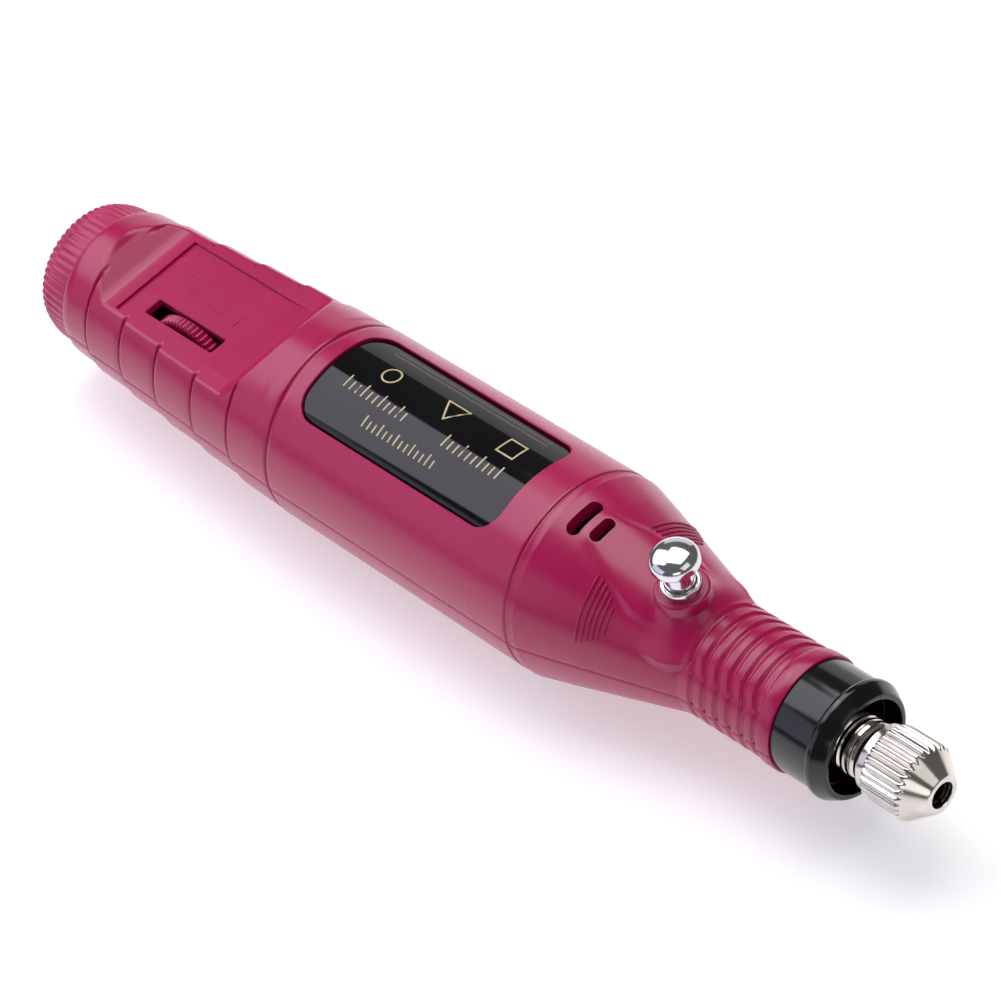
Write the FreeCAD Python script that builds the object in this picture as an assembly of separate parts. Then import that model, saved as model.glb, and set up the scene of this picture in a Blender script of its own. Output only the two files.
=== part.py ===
"""Pen-shaped electric nail grinder, as an assembly of separate pieces.

Frame: X runs along the spindle, towards the nose; Z points up out of the control panel.
The origin is on the spindle's axis at the collet's mouth. Millimetres.
"""

import FreeCAD, Part
import math
import os

V = FreeCAD.Vector
X_AXIS, Y_AXIS, Z_AXIS = V(1, 0, 0), V(0, 1, 0), V(0, 0, 1)

# ---- driving dimensions: stations along the spindle, from the collet's mouth backwards
NUT_FRONT = 0.9
COLLAR_FRONT = -11.0
COLLAR_REAR = -19.3
FLANGE_REAR = -21.7
GRIP_REAR = -34.5
PIN_X = -38.3
SHOULDER = -57.0
WAIST = -101.2
HOUSING_REAR = -145.3
CAP_REAR = -151.9

# ---- housing
SHOULDER_R = 13.66
WAIST_R = 13.50
REAR_BAND_R = 13.30
HOUSING_REAR_R = 10.65
GRIP_R = 7.50
FLANGE_R = 7.75
BAND_GROOVES = (-140.0, -132.5, -124.9, -117.0, -109.3)
GROOVE_WIDTH = 0.9
GROOVE_DEPTH = 0.45
BAND_STEP = 0.18
GRIP_RINGS = 6
GRIP_RING_PITCH = 2.05
GRIP_RING_FIRST = -33.2
GRIP_GROOVE_R = 0.40
WALL = 1.5
BARREL_BORE_R = 11.95
NECK_BORE_R = 6.25
FRONT_SPIGOT_R = 6.0
FRONT_SPIGOT_END = -14.0
FRONT_SPIGOT_BORE_R = 4.4
REAR_SPIGOT_R = 8.2
REAR_SPIGOT_END = -150.0
REAR_SPIGOT_BORE_R = 6.6
JACK_STOP_R = 4.5
JACK_STOP = (-147.9, -146.4)
BIG = 40.0

# ---- control panel
PANEL_Z = 7.9
PANEL_X = (-137.6, -111.2)
FIELD_Z = 7.5
FIELD_X = (-135.3, -112.4)
FIELD_Y = (-7.4, 6.9)
FIELD_CORNER_R = 0.8
PANEL_REAR_RISE = 3.6
PANEL_FRONT_RISE = 5.4
SLOT_X = (-131.7, -118.6)
SLOT_Y = (-5.4, -2.7)

# ---- label pocket
LABEL_X = (-98.5, -63.0)
LABEL_HALF_Y = 8.05
LABEL_CORNER_R = 3.0
LABEL_FLOOR_R = 12.75
LABEL_THICKNESS = 0.35
LABEL_GAP = 0.12

# ---- vents: centre along X, lowest and highest y, width
VENTS = ((-53.6, -3.1, 2.5, 1.8), (-50.8, -2.1, 1.7, 1.6))

# ---- lock pin, its boss, bush and spring
BOSS_R = 3.5
BOSS_BASE_R = 5.4
BOSS_BASE_Z = 6.3
BOSS_TOP_Z = 10.3
BUSH_R = 2.9
BUSH_TOP_R = 2.5
BUSH_STEP_Z = 9.2
BUSH_TOP_Z = 11.3
BUSH_BORE_R = 2.35
BUSH_LIP_Z = 9.6
PIN_STEM_R = 1.90
PIN_GUIDE_R = 1.97
PIN_FLANGE_R = 2.25
PIN_FLANGE_Z = (8.7, 9.5)
PIN_TIP_R = 1.0
PIN_TIP_Z = 4.0
PIN_HOLE_R = 1.08
HEAD_R = 3.12
HEAD_UNDER_R = 2.6
HEAD_UNDER_Z = 14.3
HEAD_WIDEST_Z = 15.2
HEAD_BROW = (2.55, 16.35)
HEAD_CROWN_R = 0.8
HEAD_TOP_Z = 16.9
SPRING_R = 1.60
SPRING_WIRE = 0.35

# ---- spindle, collet and nut
SHANK_BORE_R = 1.20
THREAD_R = 3.75
NUT_BORE_R = 3.80
SPINDLE_FRONT = -3.6
THREAD_REAR = -13.5
SPINDLE_NECK_R = 3.3
JOURNAL_R = 2.5
FRONT_JOURNAL_X = -21.4
SPINDLE_REAR = -59.5
COLLET_R = 2.10
COLLET_SEAT_R = 2.16
COLLET_REAR = -16.4
COLLET_HEAD_R = 2.45
COLLET_HEAD = (-3.0, -2.0)
COLLET_TIP_R = 1.62
COLLET_SLIT = 0.4
COLLET_SLIT_END = -10.5
NUT_R = 4.95
NUT_KNURL = (-7.5, -2.1)
NUT_TIP_R = 2.45
NUT_MOUTH_R = 1.70
NUT_SKIRT_R = 4.35
NUT_SKIRT_REAR = -8.7
NUT_CONE_R = 2.62

# ---- bearings (5 x 11 x 5) and the tube that carries them
BEARING_R = 5.5
BEARING_WIDTH = 5.0
FRONT_BEARING = -26.5
REAR_BEARING = -52.1
BALL_R = 0.78
BALL_PITCH_R = 4.0
BALL_COUNT = 7
RACE_R = 0.80
INNER_RING_R = 3.45
OUTER_RING_BORE_R = 4.55
CARRIER_R = 6.2
CARRIER_X = (-52.6, -20.1)
CARRIER_BORE_R = 4.4
SPRING_WELL_R = 2.4
SPRING_WELL_Z = 5.0
LOCK_COLLAR_R = 3.8
LOCK_COLLAR_X = (-42.0, -35.0)
SPACER_R = 3.0

# ---- motor
MOTOR_R = 11.2
MOTOR_WALL = 0.6
MOTOR_FRONT = -66.0
MOTOR_CAN_REAR = -97.0
MOTOR_SHAFT_R = 1.0
MOTOR_BUSH_BORE_R = 1.03
MOTOR_BOSS_R = 3.1
MOTOR_BOSS_FRONT = -64.4
MAGNET_X = (-90.0, -71.0)
MAGNET_R = (8.7, 10.55)
MAGNET_ANGLE = 130.0
CORE_X = (-86.5, -73.0)
CORE_R = 8.3
POLES = 3
SLEEVE_R = 11.88
SLEEVE_X = (-91.0, -69.0)
COUPLING_R = 4.0
COUPLING_X = (-63.6, -54.6)
BULKHEAD_X = (-100.9, -99.6)
CARRIER_RIB_X = (-51.0, -48.6)

# ---- electronics
BOARD_X = (-133.5, -108.5)
BOARD_Y = (1.2, 2.4)
BOARD_Z = (-7.5, 5.6)
WHEEL_X = 0.5 * (SLOT_X[0] + SLOT_X[1])
WHEEL_Z = -0.35
WHEEL_R = 8.0
WHEEL_Y = (-4.70, -2.95)
WHEEL_HUB_R = 3.0
WHEEL_WEB = 0.45
DIAL_SHAFT_R = 1.5
DIAL_BODY_HALF = 4.8
DIAL_BODY_Y = (-2.5, 1.2)
LEAD_R = 0.55
LEAD_BEND_R = 1.8

# ---- power inlet for a 5.5 x 2.1 mm plug
JACK_BORE_R = 2.85
JACK_NOSE_R = 3.9
JACK_FLANGE_R = 6.5
JACK_BODY_R = 4.2
JACK_X = (-151.6, -141.0)
JACK_PIN_R = 1.05
JACK_PIN_ROOT_R = 1.25
JACK_WALL = 1.4
JACK_PIN_TIP = -150.7
CAP_R = 10.1
CAP_BORE_R = 8.28
CAP_FLOOR = -150.3
CAP_HOLE_R = 4.05

# ---- screws that hold the two shells together: x, y, head seat z
SCREWS = ((-60.6, 8.5, -8.2), (-60.6, -8.5, -8.2), (-104.6, 0.0, -11.0))
SCREW_R = 1.0
SCREW_HEAD_R = 1.9
SCREW_HEAD_H = 1.4
SCREW_WELL_R = 2.15
SCREW_TOP_Z = 5.0
SCREW_BOSS_R = 3.0
UPPER_BOSS_TOP_Z = 8.5


# ---- shape helpers
def corner(before, point, after, radius):
    """Tangent points and the middle of the arc that rounds one corner of an outline."""
    a = V(before[0] - point[0], before[1] - point[1], 0).normalize()
    b = V(after[0] - point[0], after[1] - point[1], 0).normalize()
    half = 0.5 * a.getAngle(b)
    bisector = (a + b).normalize()
    here = V(point[0], point[1], 0)
    reach = radius / math.tan(half)
    middle = here + bisector * (radius / math.sin(half) - radius)
    return here + a * reach, middle, here + b * reach


def rounded_face(points, place):
    """Closed outline through (u, v) points; a third number rounds that corner."""
    starts, edges = [], []
    count = len(points)
    for i, point in enumerate(points):
        if len(point) == 3:
            first, middle, last = corner(points[i - 1], point, points[(i + 1) % count], point[2])
            starts.append((first, last))
            edges.append(Part.Arc(place(first), place(middle), place(last)).toShape())
        else:
            here = V(point[0], point[1], 0)
            starts.append((here, here))
    for i in range(count):
        a, b = starts[i][1], starts[(i + 1) % count][0]
        if a.distanceToPoint(b) > 1e-6:
            edges.append(Part.LineSegment(place(a), place(b)).toShape())
    return Part.Face(Part.Wire(Part.__sortEdges__(edges)))


def turned(points, start=0.0, angle=360.0):
    """Solid of revolution about the spindle axis from (x, radius) points."""
    face = rounded_face(points, lambda p: V(p.x, 0, p.y))
    face.rotate(V(0, 0, 0), X_AXIS, start)
    return face.revolve(V(0, 0, 0), X_AXIS, angle)


def turned_z(points, x, y):
    """Solid of revolution about a vertical axis from (radius, z) points."""
    face = rounded_face(points, lambda p: V(x + p.x, y, p.y))
    return face.revolve(V(x, y, 0), Z_AXIS, 360)


def side_profile(points, y0, y1):
    """Prism along Y from (x, z) points."""
    return rounded_face(points, lambda p: V(p.x, y0, p.y)).extrude(V(0, y1 - y0, 0))


def plan_profile(points, z0, z1):
    """Prism along Z from (x, y) points."""
    return rounded_face(points, lambda p: V(p.x, p.y, z0)).extrude(V(0, 0, z1 - z0))


def block(xs, ys, zs):
    return Part.makeBox(xs[1] - xs[0], ys[1] - ys[0], zs[1] - zs[0], V(xs[0], ys[0], zs[0]))


def rod(radius, xs, y=0.0, z=0.0):
    return Part.makeCylinder(radius, xs[1] - xs[0], V(xs[0], y, z), X_AXIS)


def tube(outer, inner, xs):
    return rod(outer, xs).cut(rod(inner, (xs[0] - 1, xs[1] + 1)))


def post(radius, x, y, zs):
    return Part.makeCylinder(radius, zs[1] - zs[0], V(x, y, zs[0]), Z_AXIS)


def rounded_rectangle(xs, ys, radius):
    return [(xs[0], ys[0], radius), (xs[1], ys[0], radius), (xs[1], ys[1], radius), (xs[0], ys[1], radius)]


def fused(shapes):
    return shapes[0].multiFuse(shapes[1:]).removeSplitter()


# ---- housing
def taper_radius(x):
    """Radius of the tapered rear section at x."""
    share = (x - HOUSING_REAR) / (WAIST - HOUSING_REAR)
    return HOUSING_REAR_R + share * (REAR_BAND_R + 0.3 - HOUSING_REAR_R)


def groove(x, rear_r, front_r):
    """A ring groove with a raised lip ahead of it."""
    half = 0.5 * GROOVE_WIDTH
    floor = min(rear_r, front_r) - GROOVE_DEPTH
    return [(x - half, rear_r), (x - 0.4 * half, floor), (x + 0.4 * half, floor), (x + half, front_r)]


def housing_outline():
    points = [(REAR_SPIGOT_END, 0), (REAR_SPIGOT_END, REAR_SPIGOT_R, 0.4), (HOUSING_REAR, REAR_SPIGOT_R)]
    points += [(HOUSING_REAR, HOUSING_REAR_R, 0.5)]
    for x in BAND_GROOVES:
        points += groove(x, taper_radius(x) - BAND_STEP, taper_radius(x) + BAND_STEP)
    points += groove(WAIST, REAR_BAND_R + 0.15, WAIST_R)
    points += [(SHOULDER - 0.6, SHOULDER_R), (SHOULDER - 0.4, SHOULDER_R - 0.25)]
    points += [(SHOULDER, SHOULDER_R - 0.25), (SHOULDER + 0.3, SHOULDER_R)]
    points += [(SHOULDER + 1.4, SHOULDER_R, 2.0), (SHOULDER + 6.0, 12.33, 6.0), (GRIP_REAR, GRIP_R, 2.0)]
    points += [(FLANGE_REAR, GRIP_R), (FLANGE_REAR + 0.4, FLANGE_R), (COLLAR_REAR, FLANGE_R)]
    points += [(COLLAR_REAR, FRONT_SPIGOT_R), (FRONT_SPIGOT_END, FRONT_SPIGOT_R, 0.3), (FRONT_SPIGOT_END, 0)]
    return points


def bore_outline():
    """The hollow inside the housing."""
    return [
        (REAR_SPIGOT_END - 1, 0), (REAR_SPIGOT_END - 1, REAR_SPIGOT_BORE_R), (JACK_STOP[0], REAR_SPIGOT_BORE_R),
        (JACK_STOP[0], JACK_STOP_R), (JACK_STOP[1], JACK_STOP_R), (JACK_STOP[1], REAR_SPIGOT_BORE_R),
        (HOUSING_REAR + 0.6, REAR_SPIGOT_BORE_R), (HOUSING_REAR + 2.2, HOUSING_REAR_R - WALL),
        (WAIST - 5, 11.75), (WAIST, BARREL_BORE_R),
        (SHOULDER - 1, BARREL_BORE_R), (SHOULDER + 6, 10.6), (GRIP_REAR - 1, NECK_BORE_R),
        (CARRIER_X[1] + 0.1, NECK_BORE_R), (CARRIER_X[1] + 0.1, FRONT_SPIGOT_BORE_R),
        (FRONT_SPIGOT_END + 1, FRONT_SPIGOT_BORE_R), (FRONT_SPIGOT_END + 1, 0),
    ]


def panel_tool(drop):
    """What the flat control panel takes off the housing, lowered by drop."""
    x0, x1 = PANEL_X[0] - drop, PANEL_X[1] + drop
    z = PANEL_Z - drop
    points = [
        (x0 - PANEL_REAR_RISE - 6, BIG), (x0 - PANEL_REAR_RISE - 1.0, 12.0), (x0 - PANEL_REAR_RISE, z + 2.6, 0.8),
        (x0, z, 3.0), (x1, z, 2.5), (x1 + PANEL_FRONT_RISE, z + 6.4, 1.5), (x1 + PANEL_FRONT_RISE + 2, BIG),
    ]
    return side_profile(points, -BIG, BIG)


def carrier_ribs():
    """Ring inside the nose that steadies the rear end of the bearing carrier."""
    return tube(BARREL_BORE_R, CARRIER_R + 0.03, CARRIER_RIB_X)


def motor_bulkhead():
    return tube(BARREL_BORE_R + 0.4, 8.0, BULKHEAD_X)


def screw_columns():
    """Columns that the housing screws run through, before they are trimmed to the housing."""
    return [post(SCREW_BOSS_R, x, y, (-BIG, UPPER_BOSS_TOP_Z if y else BIG)) for x, y, _ in SCREWS]


def screw_holes():
    tools = []
    for x, y, seat in SCREWS:
        tools.append(post(SCREW_WELL_R, x, y, (-BIG, seat)))
        tools.append(post(SCREW_R + 0.2, x, y, (seat - 1, 0.0)))
        tools.append(post(SCREW_R, x, y, (-0.1, SCREW_TOP_Z + 1)))
    return tools


def board_rails():
    """Two slotted ribs that the control board stands in."""
    rails = []
    for x in (BOARD_X[0] + 2.5, BOARD_X[1] - 5.0):
        rib = block((x - 0.8, x + 0.8), (BOARD_Y[0] - 1.2, BOARD_Y[1] + 1.2), (-BIG, BOARD_Z[0] + 1.5))
        rails.append(rib.cut(block((x - 1, x + 1), BOARD_Y, (BOARD_Z[0], BIG))))
    return rails


def pin_boss():
    points = [(0, BOSS_BASE_Z), (BOSS_BASE_R, BOSS_BASE_Z), (BOSS_R + 0.1, BOSS_TOP_Z - 0.9, 1.5)]
    points += [(BOSS_R, BOSS_TOP_Z, 0.5), (0, BOSS_TOP_Z)]
    return turned_z(points, PIN_X, 0)


def boss_bore():
    points = [(0, 0), (BUSH_R, 0), (BUSH_R, BUSH_STEP_Z), (BUSH_TOP_R, BUSH_STEP_Z), (BUSH_TOP_R, BIG), (0, BIG)]
    return turned_z(points, PIN_X, 0)


def label_prism(gap, floor_r):
    xs = (LABEL_X[0] + gap, LABEL_X[1] - gap)
    ys = (-LABEL_HALF_Y + gap, LABEL_HALF_Y - gap)
    prism = plan_profile(rounded_rectangle(xs, ys, LABEL_CORNER_R - gap), 4.0, BIG)
    return prism.cut(rod(floor_r, (xs[0] - 1, xs[1] + 1)))


def vent_tool(x, low, high, width):
    end = 0.499 * width
    return plan_profile(rounded_rectangle((x - width / 2, x + width / 2), (low, high), end), 4.0, BIG)


def housing():
    """Both shells in one piece, before they are parted."""
    outside = turned(housing_outline()).cut(panel_tool(0.0))
    hollow = turned(bore_outline()).cut(panel_tool(WALL))
    inside = hollow.common(outside)
    wall = outside.cut(hollow)
    fittings = [carrier_ribs(), motor_bulkhead()] + screw_columns() + board_rails()
    fittings = [f.common(inside) for f in fittings]
    boss = pin_boss().cut(rod(NECK_BORE_R, (PIN_X - 8, PIN_X + 8)))
    body = fused([wall, boss] + fittings)
    rings = []
    for i in range(GRIP_RINGS):
        ring = Part.makeTorus(GRIP_R + 0.1, GRIP_GROOVE_R, V(GRIP_RING_FIRST + i * GRIP_RING_PITCH, 0, 0), X_AXIS)
        rings.append(ring)
    field = plan_profile(rounded_rectangle(FIELD_X, FIELD_Y, FIELD_CORNER_R), FIELD_Z, BIG)
    slot = block(SLOT_X, SLOT_Y, (2.0, BIG))
    tools = rings + screw_holes() + [field, slot, boss_bore(), label_prism(0.0, LABEL_FLOOR_R)]
    tools += [vent_tool(*vent) for vent in VENTS]
    for tool in tools:
        body = body.cut(tool)
    return body


def half(body, sign):
    zs = (0, BIG) if sign > 0 else (-BIG, 0)
    return body.common(block((CAP_REAR - 5, 5), (-BIG, BIG), zs))


def label_plate():
    return label_prism(LABEL_GAP, LABEL_FLOOR_R).common(rod(LABEL_FLOOR_R + LABEL_THICKNESS, LABEL_X))


def rear_cap():
    points = [
        (HOUSING_REAR, CAP_BORE_R), (HOUSING_REAR, CAP_R, 0.3), (CAP_REAR + 2.5, CAP_R - 0.1),
        (CAP_REAR, 9.0, 1.6), (CAP_REAR, CAP_HOLE_R, 0.3), (CAP_FLOOR, CAP_HOLE_R), (CAP_FLOOR, CAP_BORE_R),
    ]
    return turned(points)


def front_collar():
    lip = COLLAR_FRONT - 2.6
    points = [
        (COLLAR_REAR, FRONT_SPIGOT_R + 0.05), (COLLAR_REAR, GRIP_R), (lip, GRIP_R), (lip + 0.3, 7.8, 0.2),
        (lip + 0.9, 7.8, 0.3), (COLLAR_FRONT, 6.8, 0.5), (COLLAR_FRONT, 6.16, 0.2),
        (FRONT_SPIGOT_END + 0.2, 6.16), (FRONT_SPIGOT_END + 0.2, FRONT_SPIGOT_R + 0.05),
    ]
    return turned(points)


# ---- lock pin
def lock_bush():
    points = [
        (BUSH_BORE_R, BOSS_BASE_Z), (BUSH_R, BOSS_BASE_Z), (BUSH_R, BUSH_STEP_Z), (BUSH_TOP_R, BUSH_STEP_Z),
        (BUSH_TOP_R, BUSH_TOP_Z, 0.2), (PIN_GUIDE_R, BUSH_TOP_Z, 0.1), (PIN_GUIDE_R, BUSH_LIP_Z),
        (BUSH_BORE_R, BUSH_LIP_Z),
    ]
    return turned_z(points, PIN_X, 0)


def lock_pin():
    """Stem with a flange that the bush holds down, and a flattened dome for a head."""
    return turned_z([
        (0, PIN_TIP_Z), (PIN_TIP_R, PIN_TIP_Z, 0.3), (PIN_TIP_R, PIN_FLANGE_Z[0]), (PIN_FLANGE_R, PIN_FLANGE_Z[0]),
        (PIN_FLANGE_R, PIN_FLANGE_Z[1]), (PIN_STEM_R, PIN_FLANGE_Z[1]), (PIN_STEM_R, HEAD_UNDER_Z),
        (HEAD_UNDER_R, HEAD_UNDER_Z, 0.2), (HEAD_R, HEAD_WIDEST_Z, 0.5), (*HEAD_BROW, 1.4),
        (HEAD_CROWN_R, HEAD_TOP_Z, 3.0), (0, HEAD_TOP_Z),
    ], PIN_X, 0)


def lock_spring():
    """Plain sleeve of the coil's size."""
    zs = (SPRING_WELL_Z, PIN_FLANGE_Z[0])
    outer = SPRING_R + 0.5 * SPRING_WIRE
    return post(outer, PIN_X, 0, zs).cut(post(outer - SPRING_WIRE, PIN_X, 0, (zs[0] - 1, zs[1] + 1)))


# ---- spindle
def cross_holes():
    """Two holes right through, a quarter turn apart, so that the pin drops in every quarter turn."""
    across = Part.makeCylinder(PIN_HOLE_R, 2 * BIG, V(PIN_X, -BIG, 0), Y_AXIS)
    return post(PIN_HOLE_R, PIN_X, 0, (-BIG, BIG)).fuse(across)


def spindle_shaft():
    points = [
        (SPINDLE_FRONT, 2.75), (SPINDLE_FRONT, THREAD_R, 0.4), (THREAD_REAR, THREAD_R, 0.3),
        (THREAD_REAR, SPINDLE_NECK_R), (FRONT_JOURNAL_X, SPINDLE_NECK_R), (FRONT_JOURNAL_X, JOURNAL_R),
        (SPINDLE_REAR, JOURNAL_R, 0.4), (SPINDLE_REAR, 0), (COLLET_REAR - 1.2, 0), (COLLET_REAR - 0.4, COLLET_SEAT_R),
        (SPINDLE_FRONT - 1.3, COLLET_SEAT_R),
    ]
    return turned(points).cut(cross_holes())


def collet():
    points = [
        (COLLET_REAR, SHANK_BORE_R), (COLLET_REAR, COLLET_R, 0.3), (COLLET_HEAD[0] - 1.0, COLLET_R),
        (COLLET_HEAD[0], COLLET_HEAD_R), (COLLET_HEAD[1], COLLET_HEAD_R), (0, COLLET_TIP_R), (0, SHANK_BORE_R),
    ]
    body = turned(points)
    half_slit = 0.5 * COLLET_SLIT
    for angle in (0, 90):
        slit = block((COLLET_SLIT_END, 1), (-half_slit, half_slit), (-5, 5))
        slit.rotate(V(0, 0, 0), X_AXIS, angle)
        body = body.cut(slit)
    return body


def collet_nut():
    points = [
        (NUT_SKIRT_REAR, NUT_BORE_R), (NUT_SKIRT_REAR, NUT_SKIRT_R, 0.15), (NUT_KNURL[0], NUT_SKIRT_R),
        (NUT_KNURL[0], NUT_R, 0.3), (NUT_KNURL[1], NUT_R), (NUT_FRONT, NUT_TIP_R, 0.15),
        (NUT_FRONT, NUT_MOUTH_R), (NUT_FRONT - 0.65, NUT_MOUTH_R), (COLLET_HEAD[1], NUT_CONE_R),
        (SPINDLE_FRONT + 0.3, NUT_CONE_R), (SPINDLE_FRONT + 0.3, NUT_BORE_R),
    ]
    return turned(points)


def lock_collar():
    return tube(LOCK_COLLAR_R, JOURNAL_R, LOCK_COLLAR_X).cut(cross_holes())


def drive_coupling():
    return rod(COUPLING_R, COUPLING_X).cut(rod(JOURNAL_R, (SPINDLE_REAR, 0))).cut(
        rod(MOTOR_SHAFT_R, (COUPLING_X[0] - 1, SPINDLE_REAR)))


# ---- bearings
def race(x):
    return Part.makeTorus(BALL_PITCH_R, RACE_R, V(x + 0.5 * BEARING_WIDTH, 0, 0), X_AXIS)


def bearing_outer(x):
    return tube(BEARING_R, OUTER_RING_BORE_R, (x, x + BEARING_WIDTH)).cut(race(x))


def bearing_inner(x):
    return tube(INNER_RING_R, JOURNAL_R, (x, x + BEARING_WIDTH)).cut(race(x))


def bearing_balls(x):
    """Balls in a ribbon cage; the cage stands 0.03 mm off each ball."""
    middle = x + 0.5 * BEARING_WIDTH
    cage = tube(BALL_PITCH_R + 0.25, BALL_PITCH_R - 0.25, (middle - 1.1, middle + 1.1))
    balls = []
    for i in range(BALL_COUNT):
        angle = 2 * math.pi * i / BALL_COUNT
        centre = V(middle, BALL_PITCH_R * math.cos(angle), BALL_PITCH_R * math.sin(angle))
        cage = cage.cut(Part.makeSphere(BALL_R + 0.03, centre))
        balls.append(Part.makeSphere(BALL_R, centre))
    return Part.makeCompound(cage.Solids + balls)


def bearing_carrier():
    rear_seat = (CARRIER_X[0] - 1, REAR_BEARING + BEARING_WIDTH)
    front_seat = (FRONT_BEARING, CARRIER_X[1] + 1)
    body = tube(CARRIER_R, CARRIER_BORE_R, CARRIER_X)
    for seat in (rear_seat, front_seat):
        body = body.cut(rod(BEARING_R, seat))
    body = body.cut(post(SPRING_WELL_R, PIN_X, 0, (SPRING_WELL_Z, BIG)))
    return body.cut(post(PIN_HOLE_R, PIN_X, 0, (0, BIG)))


def carrier_circlip():
    start = FRONT_BEARING + BEARING_WIDTH + 0.2
    ring = tube(BEARING_R, 4.7, (start, start + 0.7))
    return ring.cut(block((start - 1, start + 2), (-0.9, 0.9), (-BIG, 0)))


def wave_washer():
    start = REAR_BEARING - 0.42
    return tube(BEARING_R - 0.1, 4.6, (start, start + 0.3))


# ---- motor
def motor_can():
    points = [
        (MOTOR_CAN_REAR, MOTOR_R - MOTOR_WALL), (MOTOR_CAN_REAR, MOTOR_R), (MOTOR_FRONT, MOTOR_R, 1.2),
        (MOTOR_FRONT, MOTOR_BOSS_R), (MOTOR_BOSS_FRONT, MOTOR_BOSS_R, 0.3), (MOTOR_BOSS_FRONT, 2.5),
        (MOTOR_FRONT - 1.4, 2.5), (MOTOR_FRONT - 1.4, 8.0), (MOTOR_FRONT - 1.4, MOTOR_R - MOTOR_WALL, 0.5),
    ]
    return turned(points)


def motor_magnets():
    section = [(MAGNET_X[0], MAGNET_R[0]), (MAGNET_X[0], MAGNET_R[1]), (MAGNET_X[1], MAGNET_R[1])]
    section += [(MAGNET_X[1], MAGNET_R[0])]
    return Part.makeCompound([turned(section, start - MAGNET_ANGLE / 2, MAGNET_ANGLE) for start in (0, 180)])


def motor_end_bell():
    rear = MOTOR_CAN_REAR - 1.2
    points = [
        (rear - 1.3, 2.5), (rear - 1.3, 4.0), (rear, 4.0), (rear, MOTOR_R, 0.3), (MOTOR_CAN_REAR, MOTOR_R),
        (MOTOR_CAN_REAR, MOTOR_R - MOTOR_WALL - 0.03), (MOTOR_CAN_REAR + 2, MOTOR_R - MOTOR_WALL - 0.03),
        (MOTOR_CAN_REAR + 2, 2.5),
    ]
    bell = turned(points)
    for y in (-5.0, 5.0):
        bell = bell.cut(block((rear - 2, MOTOR_CAN_REAR + 3), (y - 0.2, y + 0.2), (-1.0, 1.0)))
    return bell


def motor_bush(xs):
    return tube(2.5, MOTOR_BUSH_BORE_R, xs)


def motor_terminals():
    rear = MOTOR_CAN_REAR - 4.4
    tabs = [block((rear, MOTOR_CAN_REAR + 2.4), (y - 0.2, y + 0.2), (-1.0, 1.0)) for y in (-5.0, 5.0)]
    return Part.makeCompound(tabs)


def motor_brushes():
    xs = (MOTOR_CAN_REAR + 2.6, MOTOR_CAN_REAR + 6.0)
    return Part.makeCompound([block(xs, ys, (-1.2, 1.2)) for ys in ((-5.6, -2.68), (2.68, 5.6))])


def pole_shape(points_z, angle):
    arm = block(CORE_X, (-1.3, 1.3), points_z)
    arm.rotate(V(0, 0, 0), X_AXIS, angle)
    return arm


def armature_core():
    shoe = [(CORE_X[0], 6.8), (CORE_X[0], CORE_R), (CORE_X[1], CORE_R), (CORE_X[1], 6.8)]
    pieces = [tube(3.2, MOTOR_SHAFT_R, CORE_X)]
    for i in range(POLES):
        angle = 360.0 * i / POLES
        pieces.append(pole_shape((2.4, 7.2), angle))
        pieces.append(turned(shoe, angle - 50, 100))
    return fused(pieces)


def armature_windings(core):
    """One coil round each pole; the coils overhang the core at both ends."""
    coils = []
    xs = (CORE_X[0] - 1.6, CORE_X[1] + 1.6)
    for i in range(POLES):
        coil = block(xs, (-3.0, 3.0), (3.5, 6.6))
        hole = block((CORE_X[0] - 0.02, CORE_X[1] + 0.02), (-1.32, 1.32), (3, 7))
        coil = coil.cut(hole)
        coil.rotate(V(0, 0, 0), X_AXIS, 360.0 * i / POLES)
        coils.append(coil.cut(core))
    return Part.makeCompound([s for c in coils for s in c.Solids])


def commutator():
    ring = tube(2.6, MOTOR_SHAFT_R, (MOTOR_CAN_REAR + 2.2, MOTOR_CAN_REAR + 7.2))
    for i in range(POLES):
        slit = block((MOTOR_CAN_REAR + 2, MOTOR_CAN_REAR + 6.4), (-0.15, 0.15), (1.5, 4))
        slit.rotate(V(0, 0, 0), X_AXIS, 60 + 360.0 * i / POLES)
        ring = ring.cut(slit)
    return ring


# ---- electronics
def speed_wheel():
    """Thin ribbed wheel with a hub; the web is thinner than the rim on both faces."""
    y0, y1 = WHEEL_Y
    wheel = Part.makeCylinder(WHEEL_R, y1 - y0, V(WHEEL_X, y0, WHEEL_Z), Y_AXIS)
    for side in (y0, y1 - WHEEL_WEB):
        ring = Part.makeCylinder(WHEEL_R - 1.2, WHEEL_WEB, V(WHEEL_X, side, WHEEL_Z), Y_AXIS)
        hub = Part.makeCylinder(WHEEL_HUB_R, WHEEL_WEB, V(WHEEL_X, side, WHEEL_Z), Y_AXIS)
        wheel = wheel.cut(ring.cut(hub))
    return wheel.cut(Part.makeCylinder(DIAL_SHAFT_R, 10, V(WHEEL_X, y0 - 1, WHEEL_Z), Y_AXIS))


def dial_shaft():
    return Part.makeCylinder(DIAL_SHAFT_R, 0.5 - WHEEL_Y[0], V(WHEEL_X, WHEEL_Y[0], WHEEL_Z), Y_AXIS)


def potentiometer_body():
    reach = DIAL_BODY_HALF
    body = block((WHEEL_X - reach, WHEEL_X + reach), DIAL_BODY_Y, (WHEEL_Z - reach, WHEEL_Z + reach))
    return body.cut(Part.makeCylinder(DIAL_SHAFT_R + 0.06, 4, V(WHEEL_X, -3.4, WHEEL_Z), Y_AXIS))


def power_transistor():
    body = block((-118.5, -110.5), (BOARD_Y[1], BOARD_Y[1] + 2.7), (-5.5, 2.5))
    return body.cut(Part.makeCylinder(1.6, 4, V(-112.9, BOARD_Y[1] - 0.5, -1.5), Y_AXIS))


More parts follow.
